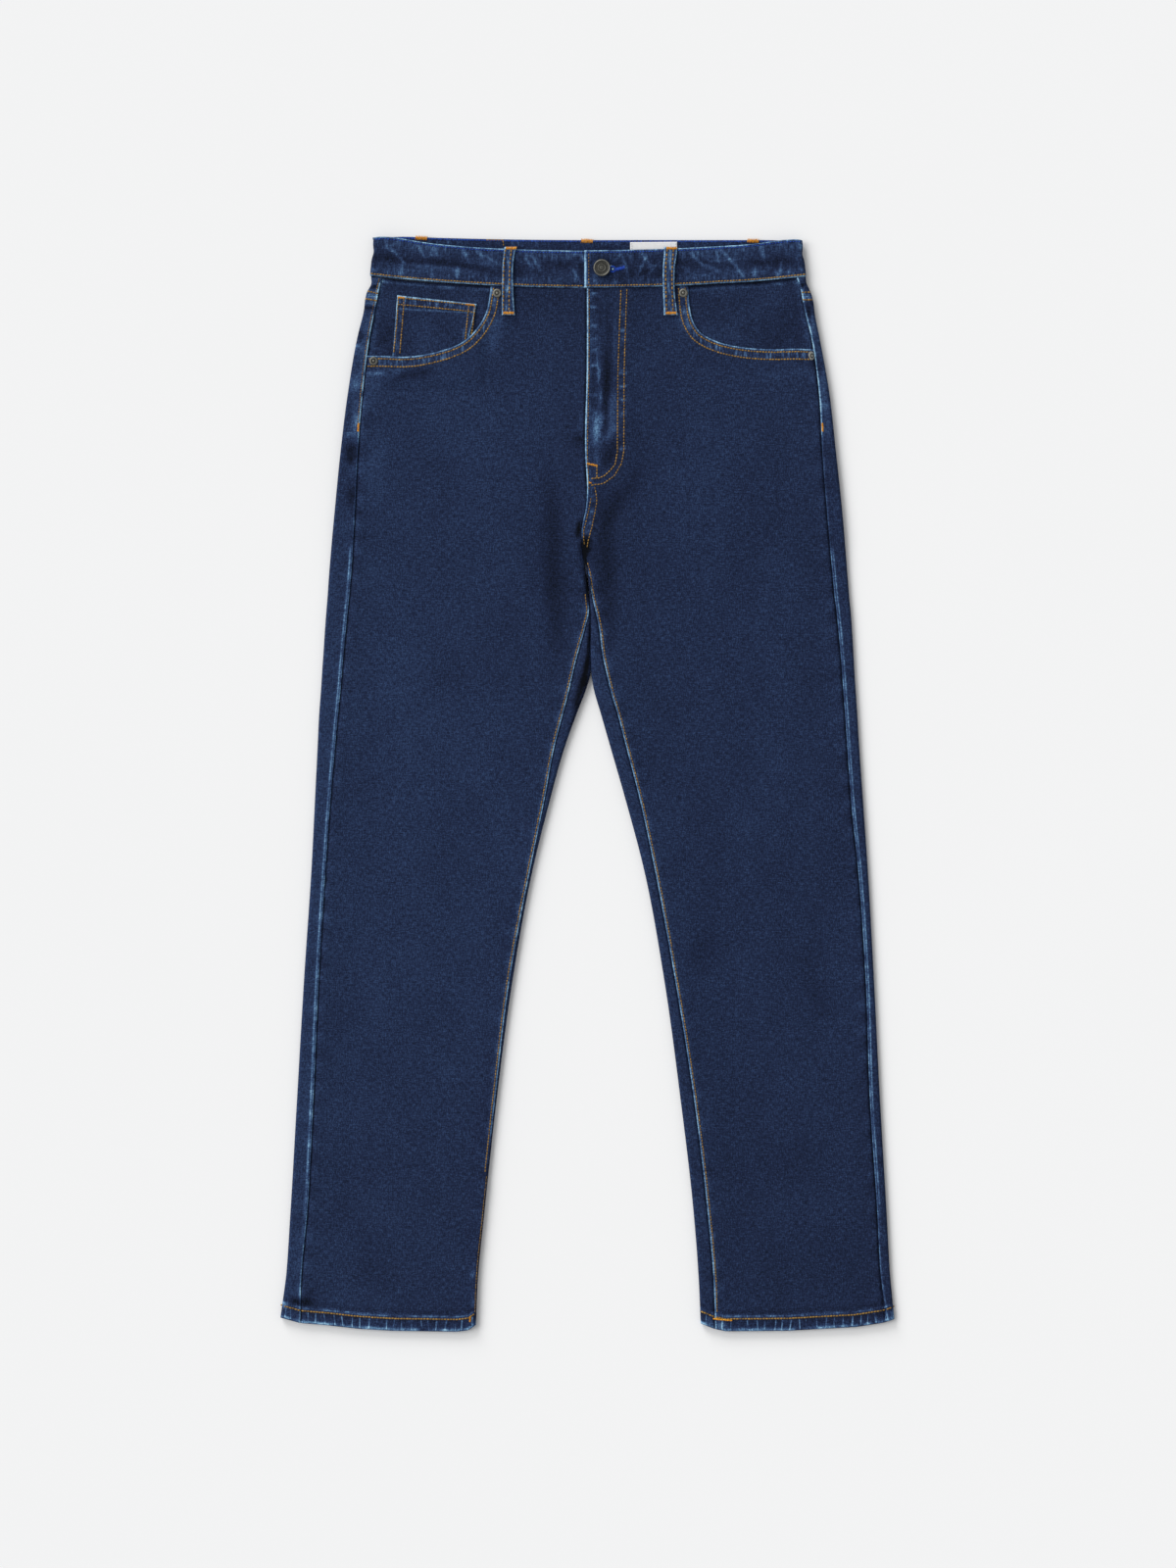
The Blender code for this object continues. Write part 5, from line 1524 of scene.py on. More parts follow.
@dataclass
class BackPiece(Piece):
    """What the back panel and the yoke share: wrapped round the hip, flat on the table."""

    leg: Leg

    def shaped(self, reach: Array, on_top: Array, row: Array) -> Array:
        """Levels of the grid's points."""
        raise NotImplementedError

    def level_of(self, row: float) -> float:
        """The level that a row's section is read at."""
        raise NotImplementedError

    def strip(self, x: Array, y: Array) -> Array:
        """Height of the strip on the upper side."""
        return self.leg.strip(self.leg.side * x, y)

    def below(self, x: Array, y: Array) -> Array:
        """Height of the underside."""
        return lift(y) + marked(UNDER_FOLDS, x, y)

    def grid(self, rows: Array) -> Array:
        """The piece's points."""
        leg = self.leg
        sections = [BackSection(leg, self.level_of(row)).read() for row in rows]
        reach, height, level, on_top = (np.array(part) for part in zip(*sections))
        y = self.shaped(reach, on_top, rows[:, None])
        x = leg.side * reach
        under = (1 - ramp(0, 6, height)) * marked(UNDER_FOLDS, x, y)
        return joined(x, y, np.where(level, leg.strip(reach, y), height + lift(y) + under))

    def wear(self, points: Array) -> WearAndShade:
        """Rubbed on the side seam's ridge, on the outer fold and on the seat; painted shade in hollows and in
        the inseam's gap.
        """
        leg = self.leg
        x, y = points[..., 0], points[..., 1]
        reach = leg.side * x
        along = lengths_along(points, 1)
        seam = along[:, -1:] - along
        hem = leg.over_hem(reach, y)
        hem_rub, hem_dark, rope = hem_wear_and_shade(x, hem)
        ridge = 0.75 + 0.25 * Unevenness(leg.seed + 30, 9, 15).at(x, y)
        upper = ramp(2.2, 4, points[..., 2] - lift(y))
        seat = bell(reach, 105, 60) * bell(y, 300, 110)
        seat += bell(reach, 150, 60) * bell(y, -60, 130)
        hip, thigh = ramp(345, 362, y), ramp(230, 250, y)
        broken = np.clip(0.55 + 0.8 * Unevenness(leg.seed + 33, 6, 6.5).at(x, y), 0, 1)
        crest = (0.5 + 0.8 * hip - 0.2 * (thigh - hip)) * (0.35 + broken) * bell(along, 0.8, 0.9)
        second = 0.65 * (1 - thigh) * ramp(-470, -400, y) * bell(along, 3.2, 0.75)
        rub = ridge * (crest + second) + hem_rub + 0.12 * seat * (1 - upper)
        rub += upper * (marked(FADED, x, y) + 0.12 * hip * bell(along, 6, 5))
        rub += 0.07 * np.clip(leg.side_puckers(y, along), 0, 1)
        # Painted light across the garment, and random tone
        shade = painted_light_and_tone(x, y) + 0.18 * Unevenness(leg.seed + 32, 9, 13).at(along, y)
        # On the upper side: paler up to the thighs, and painted shade from the marked hollows, creases and
        # the fork
        shade += upper * (0.35 * (1 - ramp(150, 280, y)) - 2.4 * marked(PAINTED_SHADE, x, y))
        # Painted shade in the inseam's gap, and the hem's dark places
        shade -= 0.8 * bell(seam, 0.4, 1) * (1 - ramp(190, 215, y)) + hem_dark
        shade += 0.5 * np.clip(leg.side_puckers(y, along) + leg.inseam_puckers(y, seam), -1, 0)
        return WearAndShade(rub, 0.45 * bell(hem, HEM_STITCH + 3.4, 2), shade, rope)

    def wrapped(self, part: str, rows: Array, grain: float, **settings: Any) -> Cloth:
        """The piece's cloth: its grain follows the cloth, and is moved up to differ from others'."""
        leg = self.leg
        points = self.grid(rows)
        return Cloth(
            f"{part}_{leg.name}", points, self.wear(points), turned=leg.is_right,
            grain=joined(lengths_along(points, 1), points[..., 1]), offset=(BACK_GRAIN * leg.side, grain),
            **settings,
        )

    def side_row(self, part: str, seed: int, span: tuple[float, float, int]) -> Sewing:
        """The stitches above, begun on the right leg with a row beside the side seam, over a span."""
        leg = self.leg
        above = Sewing(f"stitches_{part}_{leg.name}", Thread.ORANGE, self.strip, leg.seed + seed)
        if leg.is_right:
            y = np.linspace(*span)
            above.row(leg.path(leg.line(Line.SIDE_SEAM, y) + 2.4, y), pitch=2.6, length=2.2, width=0.9)
        return above

    def yoke_row(self, end: float, level: float, beside: float) -> Array:
        """A row of stitches beside the yoke seam, seen from above."""
        reach = np.linspace(2, end, 60)
        return self.leg.path(reach, yoke_seam_y(self.leg.across(reach, level)) + beside)


@dataclass
class BackPanel(BackPiece):
    """A back leg panel, from the hem to the yoke."""

    def shaped(self, reach: Array, on_top: Array, row: Array) -> Array:
        """A row follows the hem at its foot and the yoke seam at its top."""
        across = self.leg.across(reach, row)
        share = np.clip((row - HIP_Y) / (YOKE_SIDE_Y - HIP_Y), 0, 1)
        seam = yoke_seam_y(np.where(on_top, 1, across)) - SEAM_GAP / 2
        return self.leg.hem_shaped(row, across) + share * (seam - YOKE_SIDE_Y)

    def level_of(self, row: float) -> float:
        """A row's own level."""
        return float(row)

    def cloth(self) -> Cloth:
        """The panel, with a thicker hem."""
        leg = self.leg
        cloth = self.wrapped(
            "back", leg_levels(YOKE_SIDE_Y), 0, wall=HEM_DENIM, rests_on=("table", f"back_pocket_{leg.name}")
        )
        cloth.hem = leg.over_hem(leg.side * cloth.points[..., 0], cloth.points[..., 1]) < HEM_TURN
        return cloth

    def sewing(self) -> Sequence[Sewing]:
        """Rows beside the side seam and in the hem above, and the hem and yoke rows underneath."""
        leg = self.leg
        above = self.side_row("back", 3, (368, 497, 60))
        outer, side_seam, inseam, inner = (leg.line(line, HEM_Y + HEM_STITCH) for line in Line)
        for start, end in ((side_seam + 0.4, outer + 1.2), (inner + 0.6, inseam - 0.4)):
            if end - start > 2:
                above.row(leg.hem_row(start, end, 10), length=HEM_STITCH_LENGTH, width=HEM_THREAD_WIDTH)
        tack = Sewing(f"tack_side_{leg.name}", Thread.TACK, self.strip, leg.seed + 4)
        y = np.array([359.4, 368])
        tack.satin(leg.path(leg.line(Line.SIDE_SEAM, y) + 1.6, y), breadth=2.6)
        below = Sewing(f"stitches_under_{leg.name}", Thread.ORANGE, self.below, leg.seed + 5, -1, 0.4)
        below.row(leg.hem_row(inner + 4, outer - 4)).row(self.yoke_row(228, 470, -3))
        if not leg.is_right:
            for x in (2.4, 8.6):
                below.row([(x, 232), (x, 444)])
        return above, tack, below


@dataclass
class Yoke(BackPiece):
    """A back yoke, between the back panel and the waistband."""

    def shaped(self, reach: Array, on_top: Array, row: Array) -> Array:
        """Rows run from the yoke seam to the waistband's lower edge."""
        across = np.where(on_top, 1, self.leg.across(reach, self.level_of(0.5)))
        seam = yoke_seam_y(across) + SEAM_GAP / 2
        waist = np.where(on_top, front_waist_y(reach), back_waist_y(reach)) - SEAM_GAP
        return seam + row * (waist - seam)

    def level_of(self, row: float) -> float:
        """Rows are shares of the way up."""
        return YOKE_SIDE_Y + float(row) * (YOKE_TOP_Y - YOKE_SIDE_Y)

    def cloth(self) -> Cloth:
        """The yoke."""
        rows = np.linspace(0, 1, 34)
        return self.wrapped("yoke", rows, YOKE_GRAIN, rests_on=("table", "belt_loop_back_center"))

    def sewing(self) -> Sequence[Sewing]:
        """Two rows at the yoke seam and the row beside the side seam."""
        leg = self.leg
        above = self.side_row("yoke", 6, (499, 516, 10))
        fall = 2.4 if leg.is_right else 0.3
        for level in (501.4, 493.8):
            seam, outer = (float(leg.line(line, level)) for line in (Line.SIDE_SEAM, Line.OUTER))
            reach = np.array([seam + 0.4, outer - 0.6])
            above.row(leg.path(reach, level + fall * np.array([-0.5, 0.5])), pitch=2.6, length=2.8, width=1.9)
        below = Sewing(f"stitches_yoke_under_{leg.name}", Thread.ORANGE, self.below, leg.seed + 7, -1, 0.4)
        below.row(self.yoke_row(222, 490, 3.2))
        return above, below


# Front pockets, zip and back pockets


@dataclass
class Facing(Piece):
    """The denim behind a front pocket's opening."""

    leg: Leg
    drop: float = 1.6
    hidden: float = 14.0

    def height(self, x: Array, y: Array) -> Array:
        """Its height, a layer under the front panel's."""
        return self.leg.top_height(self.leg.side * x, y) - self.drop

    def cloth(self) -> Cloth:
        """Rows run from under the opening's edge to the waistband, columns from the side seam inwards."""
        leg = self.leg
        edge = leg.opening_curve(beyond=(self.hidden, self.hidden), count=60)
        waist_y = float(front_waist_y(leg.opening_waist)) - SEAM_GAP
        foot_y = leg.opening_side_y - 0.9 * self.hidden
        share = np.linspace(0, 1, 52)[:, None]
        level = foot_y + share * (waist_y - foot_y)
        far = np.interp(level, np.maximum.accumulate(edge[:, 1]), edge[:, 0])
        near = leg.outer_edge(level)
        over = np.concatenate([EDGE_STEPS[:8] / 140, np.linspace(0.04, 1, 56)[1:]])
        reach = near + over * (far - near)
        y = foot_y + share * (front_waist_y(reach) - SEAM_GAP - foot_y)
        x = leg.side * reach
        side = near - reach
        under = front_waist_y(x) - y
        patchy = np.clip(0.6 + 0.5 * Unevenness(leg.seed + 42, 9, 6).at(x, y), 0, 1)
        rub = patchy * ((0.45 if leg.is_right else 0.28) * bell(under, 4.2, 1.5))
        rub += 0.6 * patchy * ramp(498, 508, y) * bell(side, 2.6, 1.1) + 0.1 * bell(side, 4, 3)
        # Random tone, and painted shade that darkens the whole facing a little
        shade = 0.6 * Unevenness(leg.seed + 40, 22, 30).at(x, y) - 0.3
        shade += 0.3 * Unevenness(leg.seed + 41, 8, 10).at(x, y)
        # Painted shadow under the waistband's lower edge and in the gap beside the side seam's crest
        shade -= 1.8 * bell(under, 1, 1.3) + 2 * bell(side, 0.3, 0.8)
        return Cloth(
            f"pocket_facing_{leg.name}", joined(x, y, self.height(x, y) - 0.5 * bell(side, 0, 1.3)),
            WearAndShade(rub, shade=shade), turned=not leg.is_right,
            rests_on=(f"back_{leg.name}", f"yoke_{leg.name}"),
        )


def four_sided(corners: Sequence[Row], rows: Array, columns: Array) -> tuple[Array, Array]:
    """Plan points of a patch between four corners.

    Args:
        corners: lower left, lower right, upper left and upper right.
        rows: shares of the way up.
        columns: shares of the way across.

    Returns:
        Its x and y grids: a straight blend between the corners.
    """
    lower_left, lower_right, upper_left, upper_right = np.array(corners, float)
    up, over = rows[:, None, None], columns[None, :, None]
    low = (1 - over) * lower_left + over * lower_right
    high = (1 - over) * upper_left + over * upper_right
    plan = (1 - up) * low + up * high
    return plan[..., 0], plan[..., 1]


def edged(length: float, step: float) -> Array:
    """Shares from 0 to 1 that are close at both ends, for a side of a length."""
    near = np.array([0, 0.35, 0.75, 1.2, 1.8, 2.6, 3.6]) / length
    count = max(int(round(length / step)), 2)
    middle = np.linspace(near[-1], 1 - near[-1], count)[1:-1]
    return np.concatenate([near, middle, (1 - near)[::-1]])


def to_end(share: Array, length: float) -> Array:
    """Distance from the nearer end of a side of a length, by the share along it."""
    return np.minimum(share, 1 - share) * length


@dataclass
class CoinPocket(Piece):
    """The small fifth pocket on the right facing."""

    corners: tuple[Row, ...] = ((-200.2, 426), (-124, 443), (-194.6, 498.6), (-113.4, 489.6))
    width: float = 80.0
    height: float = 64.0

    def level(self, x: Array, y: Array) -> Array:
        """Height of the patch, on the facing."""
        return RIGHT.top_height(-x, y) + 0.1

    def sewn(self, x: Array, y: Array) -> Array:
        """Its height where it is sewn, near its edges."""
        return self.level(x, y) + 0.28

    def cloth(self) -> Cloth:
        """The patch: turned edges stand a little proud, and the upper edge is a thicker welt."""
        rows, columns = edged(self.height, 1.6), edged(self.width, 1.6)
        x, y = four_sided(self.corners, rows, columns)
        up, over = rows[:, None] * self.height, columns * self.width
        top, side = self.height - up, to_end(columns, self.width)
        edge = np.minimum(side, np.minimum(up, top))
        z = self.level(x, y) + 0.25 * (1 - ramp(9, 12, side)) - rounded(edge, 0.7)
        z += 0.2 * (1 - ramp(9, 11, top))
        z += 0.12 * Puckers(61, 7, 1e6).at(over, top) * (1 - ramp(8, 14, top))
        z += 0.12 * Puckers(63, 9, 1e6).at(up, side) * (1 - ramp(8, 14, side))
        z -= 0.12 * (bell(top, 3.2, 0.7) + bell(top, 9.6, 0.7) + bell(side, 1.4, 0.6) + bell(side, 7, 0.7))
        ridge = 0.75 + 0.25 * Unevenness(65, 11, 11).at(x, y)
        rub = ridge * (0.95 * bell(top, 0.7, 0.9) + 0.8 * bell(side, 0.5, 0.7)) + 0.3 * bell(top, 12.4, 1)
        streak = 0.8 * (1 - ramp(9.5, 12, top)) + 0.7 * (1 - ramp(7, 9, side))
        shade = 0.5 * Unevenness(66, 20, 20).at(x, y)
        return Cloth(
            "coin_pocket", joined(x, y, z), WearAndShade(rub, streak, shade),
            rests_on=("pocket_facing_right",), offset=(0, 31),
        )

    def sewing(self) -> Sequence[Sewing]:
        """Two rows down each side, two along the top and the corner tacks."""
        rows, tacks = rows_and_tacks("coin_pocket", self.sewn, 71)
        for path in (
            [(-192, 495.3), (-185.4, 495.2), (-130.5, 489.8), (-117.5, 488.2)],
            [(-194, 489.2), (-130.5, 483.2), (-117, 481.2)],
            [(-193.4, 496), (-195, 470), (-198.2, 440)],
            [(-187.6, 495), (-189.2, 470), (-192, 439)],
            [(-115.3, 488), (-117.2, 470), (-119.6, 452)],
            [(-121.6, 488), (-123.4, 470), (-125.8, 447)],
        ):
            rows.row(path, width=1.45)
        tacks.satin([(-193.8, 496.4), (-187, 495.8)], breadth=2.6).satin([(-124.6, 489.2), (-115.4, 488.4)])
        return rows, tacks


@dataclass
class BackPocket(Piece):
    """A patch pocket under the garment, with a pointed foot."""

    leg: Leg
    inner: float = 52.0
    width: float = 142.0
    low_x: Row = (6.0, 69.0, 134.0)
    low_y: Row = (298.0, 281.0, 308.0)
    high_y: Row = (418.0, 430.0)
    mean_width: float = 140.0
    mean_height: float = 130.0

    def edges(self, over: Array, up: Array) -> tuple[Array, Array]:
        """Plan points by shares: sides lean in to the foot, which is two straight edges."""
        low_x = self.low_x[0] + over * (self.low_x[-1] - self.low_x[0])
        low_y = np.interp(low_x, self.low_x, self.low_y)
        high_y = self.high_y[0] + over * (self.high_y[1] - self.high_y[0])
        return low_x + up * (over * self.width - low_x), low_y + up * (high_y - low_y)

    def line(self, over: Array | float, up: Array | float) -> Array:
        """A line seen from above, by shares."""
        x, y = self.edges(np.asarray(over, float), up)
        return joined(self.leg.side * (self.inner + x), y)

    def cloth(self) -> Cloth:
        """The patch, face down, with turned edges."""
        rows, columns = edged(self.mean_height, 3.4), edged(self.mean_width, 3.4)
        x, y = self.edges(columns, rows[:, None])
        side = to_end(columns, self.mean_width)
        foot, top = rows[:, None] * self.mean_height, (1 - rows[:, None]) * self.mean_height
        edge = np.minimum(side, np.minimum(foot, top))
        z = UNDERSIDE + rounded(edge, 0.6) - 0.12 * (1 - ramp(7, 10, edge))
        z += 0.2 * bell(x, 70, 40) * bell(y, 350, 30)
        x = self.leg.side * (self.inner + x)
        ridge = 0.75 + 0.25 * Unevenness(self.leg.seed + 50, 9, 9).at(x, y)
        rub = ridge * (0.8 * bell(edge, 0.6, 0.8) + 0.3 * bell(top, 14.5, 1.5))
        rub += 0.08 * (1 - ramp(20, 60, edge))
        streak = 0.7 * (1 - ramp(8, 11, np.minimum(side, foot))) + 0.6 * (1 - ramp(12, 16, top))
        shade = 0.5 * Unevenness(self.leg.seed + 51, 25, 30).at(x, y)
        return Cloth(
            f"back_pocket_{self.leg.name}", joined(x, y, z), WearAndShade(rub, streak, shade),
            wall=0.9, turned=not self.leg.is_right, offset=(900, 0),
        )

    def sewing(self) -> Sequence[Sewing]:
        """Two rows round the sides and foot, two along the top, and a tack at each upper corner."""
        name = f"back_pocket_{self.leg.name}"
        rows, tacks = rows_and_tacks(name, flat(UNDERSIDE), self.leg.seed + 8, under=True)
        for inset in (1.8, 8):
            share, low = inset / self.mean_width, inset / self.mean_height
            down = np.linspace(0.985, low, 20)
            foot = self.line(np.linspace(share, 1 - share, 24), low)
            rows.row(np.concatenate([self.line(share, down), foot, self.line(1 - share, down[::-1])]))
        for inset in (2.2, 12.5):
            rows.row(self.line([0.01, 0.99], 1 - inset / self.mean_height))
        for over in (0.012, 0.988):
            tacks.satin(self.line(over, np.array([0.99, 0.93])), height=0.25)
        return rows, tacks


@dataclass
class ZipChain(Sewing):
    """Teeth of the zip: beads across its chain, in metal."""

    def build(self, workshop: Workshop) -> bpy.types.Object:
        """Makes the teeth and gives them the metal's finish."""
        piece = super().build(workshop)
        piece.data.materials.clear()
        piece.data.materials.append(workshop.finishes["button_metal"])
        add_values(piece.data, "rub", np.full(len(piece.data.vertices), 0.4))
        return piece


@dataclass
class FlyZip(Piece):
    """The closed zip under the fly's overlap: its tape and its chain of teeth."""

    foot_y: float = 347.0
    top_y: float = 500.0
    width: float = 23.0

    def surface(self, x: Array, y: Array) -> Array:
        """The tape's height."""
        return LEFT.top_height(x, y) - 0.1

    def cloth(self) -> Cloth:
        """The tape."""
        y = np.linspace(self.foot_y, self.top_y, 80)[:, None]
        x = fly_x(y) + FLY_OVERLAP + 0.3 + np.linspace(0, 1, 14) * self.width
        return Cloth(
            "fly_zip", joined(x, y, self.surface(x, y)), wall=TAPE, slot="zip_tape",
            materials=("zip_cloth",), rests_on=("back_left",),
        )

    def sewing(self) -> Sequence[Sewing]:
        """A tooth every 1.5 mm."""
        y = np.linspace(self.foot_y + 4, self.top_y - 4, 20)
        chain = ZipChain("zip_chain", Thread.WHITE, self.surface, 97)
        return (chain.satin(joined(fly_x(y) + FLY_OVERLAP + 9, y), breadth=4.2, pitch=1.5, height=0.4),)


# Waistband, loops and label

BAND_WIDTH = 37.4
BAND_ROWS = np.concatenate(
    [[0, 0.4, 0.8, 1.3, 2, 2.8], np.linspace(3.8, 33.6, 24), [34.6, 35.4, 36.1, 36.6, 37, BAND_WIDTH]]
) / BAND_WIDTH


@dataclass
class Band(Piece):
    """One front piece of the waistband, from its end at the fly, over the hip and underneath."""

    leg: Leg
    end_reach: float
    end_height: float
    end_fade: tuple[float, float]
    front_top: float = 8.8
    fold_radius: float = 3.5
    edge: float = 218.8
    join: float = 205.0

    def top(self, reach: Array) -> Array:
        """Height of its upper face."""
        hip = self.front_top + 0.2 * ramp(150, 219, reach)
        return hip + (self.end_height - self.front_top) * (1 - ramp(*self.end_fade, reach))

    def relief(self, x: Array, low: Array, high: Array, end: Array) -> Array:
        """Rounded edges, soft rolls inside the rows of stitches, and gathers along both edges.

        Args:
            x: along the band.
            low: distance over its lower edge.
            high: distance under its upper edge.
            end: distance from its end at the fly.

        Returns:
            What it adds to the height.
        """
        z = -rounded(low, 1) - rounded(high, 1.2) - rounded(end, 0.9)
        z += 0.3 * (bell(low, 5.2, 2.4) + bell(high, 6.4, 3))
        z -= 0.16 * (bell(low, 2.2, 0.8) + bell(high, 2.6, 0.8))
        z += 0.2 * Puckers(self.leg.seed + 60, 11, 10, 0.5).at(x, low) + 0.22 * self.top_puckers(x, high)
        y = front_waist_y(x) + low
        z += 0.9 * marked(BAND_CRESTS, x, y) - 0.5 * marked(BAND_HOLLOWS, x, y)
        return z + 0.14 * Unevenness(self.leg.seed + 64, 26, 14).at(x, low)

    def top_puckers(self, x: Array, high: Array) -> Array:
        """Gathers along the upper edge."""
        return Puckers(self.leg.seed + 62, 13, 11, -0.4).at(x, high)

    def surface(self, x: Array, y: Array) -> Array:
        """Height of the upper face at a place."""
        reach = self.leg.side * x
        low, high = y - front_waist_y(x), band_top_y(x) - y
        return self.top(reach) + self.relief(x, low, high, reach - self.end_reach)

    def cloth(self) -> Cloth:
        """A row runs along the upper face, round a half circle at the hip and back to the join."""
        near = self.end_reach + np.array([0, 0.4, 0.9, 1.5, 2.2])
        fold = self.edge - self.fold_radius
        upper = np.concatenate([near, np.linspace(near[-1] + 1.4, fold - 0.6, 142)])
        turn = np.linspace(0, math.pi, 17)
        share = BAND_ROWS[:, None]
        lean = 3.6 * (1 - share)
        face = upper + lean * ramp(180, fold, upper)
        back = np.linspace(fold - 1.5, self.join, 5) + lean * np.linspace(0.8, 0, 5)
        reach = np.concatenate([face, fold + lean + self.fold_radius * np.sin(turn), back], axis=1)
        waisted = bell(front_waist_y(reach) + share * BAND_WIDTH, 540, 5.5)
        reach = reach - 1.5 * ramp(0, self.fold_radius, reach - fold - lean) * waisted
        x = self.leg.side * reach
        past = np.arange(reach.shape[1]) - len(upper)
        turned = np.clip(past / (len(turn) - 1), 0, 1)
        under = past >= len(turn) // 2
        low = np.where(under, back_waist_y(x), front_waist_y(x)) + SEAM_GAP / 2
        high = np.where(under, back_band_top_y(x), band_top_y(x))
        y = low + share * (high - low)
        round_hip = LOOP_LIFT + self.fold_radius * (1 + np.cos(math.pi * turned))
        over = np.where(past < 0, self.top(reach), round_hip)
        spans = (y - low, high - y, reach - self.end_reach)
        z = over + (1 - turned) * self.relief(x, *spans)
        z = np.where(past > len(turn) // 2, over + 0.6 * rounded(np.minimum(*spans[:2]), 1), z)
        points = joined(x, y, z)
        return Cloth(
            f"waistband_front_{self.leg.name}", points, self.wear(x, *spans),
            wall=BAND, turned=self.leg.is_right, materials=ONE_FACE, held="folded",
            grain=joined(self.leg.side * lengths_along(points, 1), y), offset=(0, 1200),
            rests_on=(f"front_{self.leg.name}", "waistband_back"),
        )

    def wear(self, x: Array, low: Array, high: Array, end: Array) -> WearAndShade:
        """Rubbed along its edges and on the crests, and streaked inside both rows of stitches; painted shade
        in its hollows.
        """
        seed = self.leg.seed
        y = front_waist_y(x) + low
        ridge = 0.75 + 0.25 * Unevenness(seed + 66, 16, 9).at(x, low)
        patchy = 0.5 + 0.5 * Unevenness(seed + 67, 34, 1e6).at(x, low)
        rub = ridge * (0.85 * bell(high, 0.6, 0.65) + (0.4 + 0.6 * patchy) * bell(low, 0.7, 0.9))
        if not self.leg.is_right:
            rub += 1.05 * ridge * bell(end, 1, 1.3)
        rub += 0.12 * np.clip(self.top_puckers(x, high), 0, 1) + 0.95 * marked(BAND_CRESTS, x, y)
        vein = np.clip(1 - 9 * np.abs(Unevenness(seed + 70, 19, 13).at(x + 0.7 * low, low)), 0, 1)
        rub += vein * (0.1 + 0.14 * bell(high, 10, 8))
        streak = 0.52 * (bell(high, 6.5, 4.5) + bell(low, 6.5, 4)) + 0.14
        # Random tone, and painted shade in the wrinkles' hollows
        shade = 0.5 * Unevenness(seed + 68, 20, 10).at(x, low) - 2 * marked(BAND_HOLLOWS, x, y)
        return WearAndShade(rub, streak, shade)

    def sewing(self) -> Sequence[Sewing]:
        """A blue row along the top, an orange row along the bottom and, on top, one up the end."""
        name, side, seed = self.leg.name, self.leg.side, self.leg.seed
        shown = 5 if self.leg.is_right else self.end_reach + 1.8
        orange = Sewing(f"stitches_band_{name}", Thread.ORANGE, self.surface, seed + 10)
        x = side * np.linspace(shown, 221.7, 160)
        orange.row(joined(x, front_waist_y(x) + 2.3))
        if not self.leg.is_right:
            end = joined(self.end_reach + 4.6, np.linspace(509.5, 541, 12))
            orange.row(end, length=2.2, width=1)
        blue = Sewing(f"stitches_band_top_{name}", Thread.BLUE, self.surface, seed + 11)
        x = side * np.linspace(shown, 217, 160)
        return orange, blue.row(joined(x, band_top_y(x) - 2.4), length=2.4, width=0.9)


@dataclass
class BackBand(Piece):
    """The back piece of the waistband: its inner face shows over the front's upper edge."""

    join: float = 204.9
    wall: float = BAND - 0.1

    def cloth(self) -> Cloth:
        """A plain strip, face down; its wall is the band's, rounded at its upper edge."""
        x = np.linspace(-self.join, self.join, 160)
        low = back_waist_y(x) + SEAM_GAP / 2
        y = low + BAND_ROWS[:, None] * (back_band_top_y(x) - low)
        high = back_band_top_y(x) - y
        z = LOOP_LIFT + 0.5 * rounded(np.minimum(high, y - low), 1)
        z += 0.08 * Unevenness(81, 30, 20).at(x, y)
        rub = 0.45 * bell(high, 0.7, 0.9) * (0.7 + 0.3 * Unevenness(82, 15, 9).at(x, y))
        # Random tone, and painted shade over the whole inner face, which lies behind the front band's upper
        # edge
        shade = 0.4 * Unevenness(83, 25, 12).at(x, y) - 0.35
        return Cloth(
            "waistband_back", joined(x, y, z), WearAndShade(rub, 0.4 * bell(high, 4, 3), shade), wall=self.wall,
            turned=True, materials=ONE_FACE, offset=(0, 1400),
            rests_on=("belt_loop_back_left", "belt_loop_back_right", "belt_loop_back_center"),
        )

    def sewing(self) -> Sequence[Sewing]:
        """Blue rows along the top on both faces, an orange row below, and the loops' tacks."""
        x = np.linspace(-204, 204, 200)
        top, foot = back_band_top_y(x), back_waist_y(x)
        name = "stitches_back_band"
        inside, outside = flat(LOOP_LIFT + self.wall), flat(LOOP_LIFT)
        blue = Sewing(f"{name}_inside", Thread.BLUE, inside, 84)
        blue.satin(joined(x, top - 1.5), pitch=1.5, height=0.35)
        orange = Sewing(f"{name}_inner_row", Thread.ORANGE, inside, 85)
        orange.row([(-104, 555.4), (-86.6, 555.2), (-86, 549)], width=1.4)
        tacks = Sewing("tacks_back_band", Thread.TACK, inside, 86)
        for middle in BACK_LOOP_XS.values():
            height = float(back_band_top_y(middle)) - 0.7
            tacks.satin([(middle - 6, height), (middle + 5.8, height - 0.6)], breadth=5.2, height=0.8)
        under = Sewing(f"{name}_outside", Thread.ORANGE, outside, 87, -1, -0.05)
        under_top = Sewing(f"{name}_outside_top", Thread.BLUE, outside, 88, -1, -0.05)
        return blue, orange, tacks, under.row(joined(x, foot + 2.3)), under_top.row(joined(x, top - 2.6))


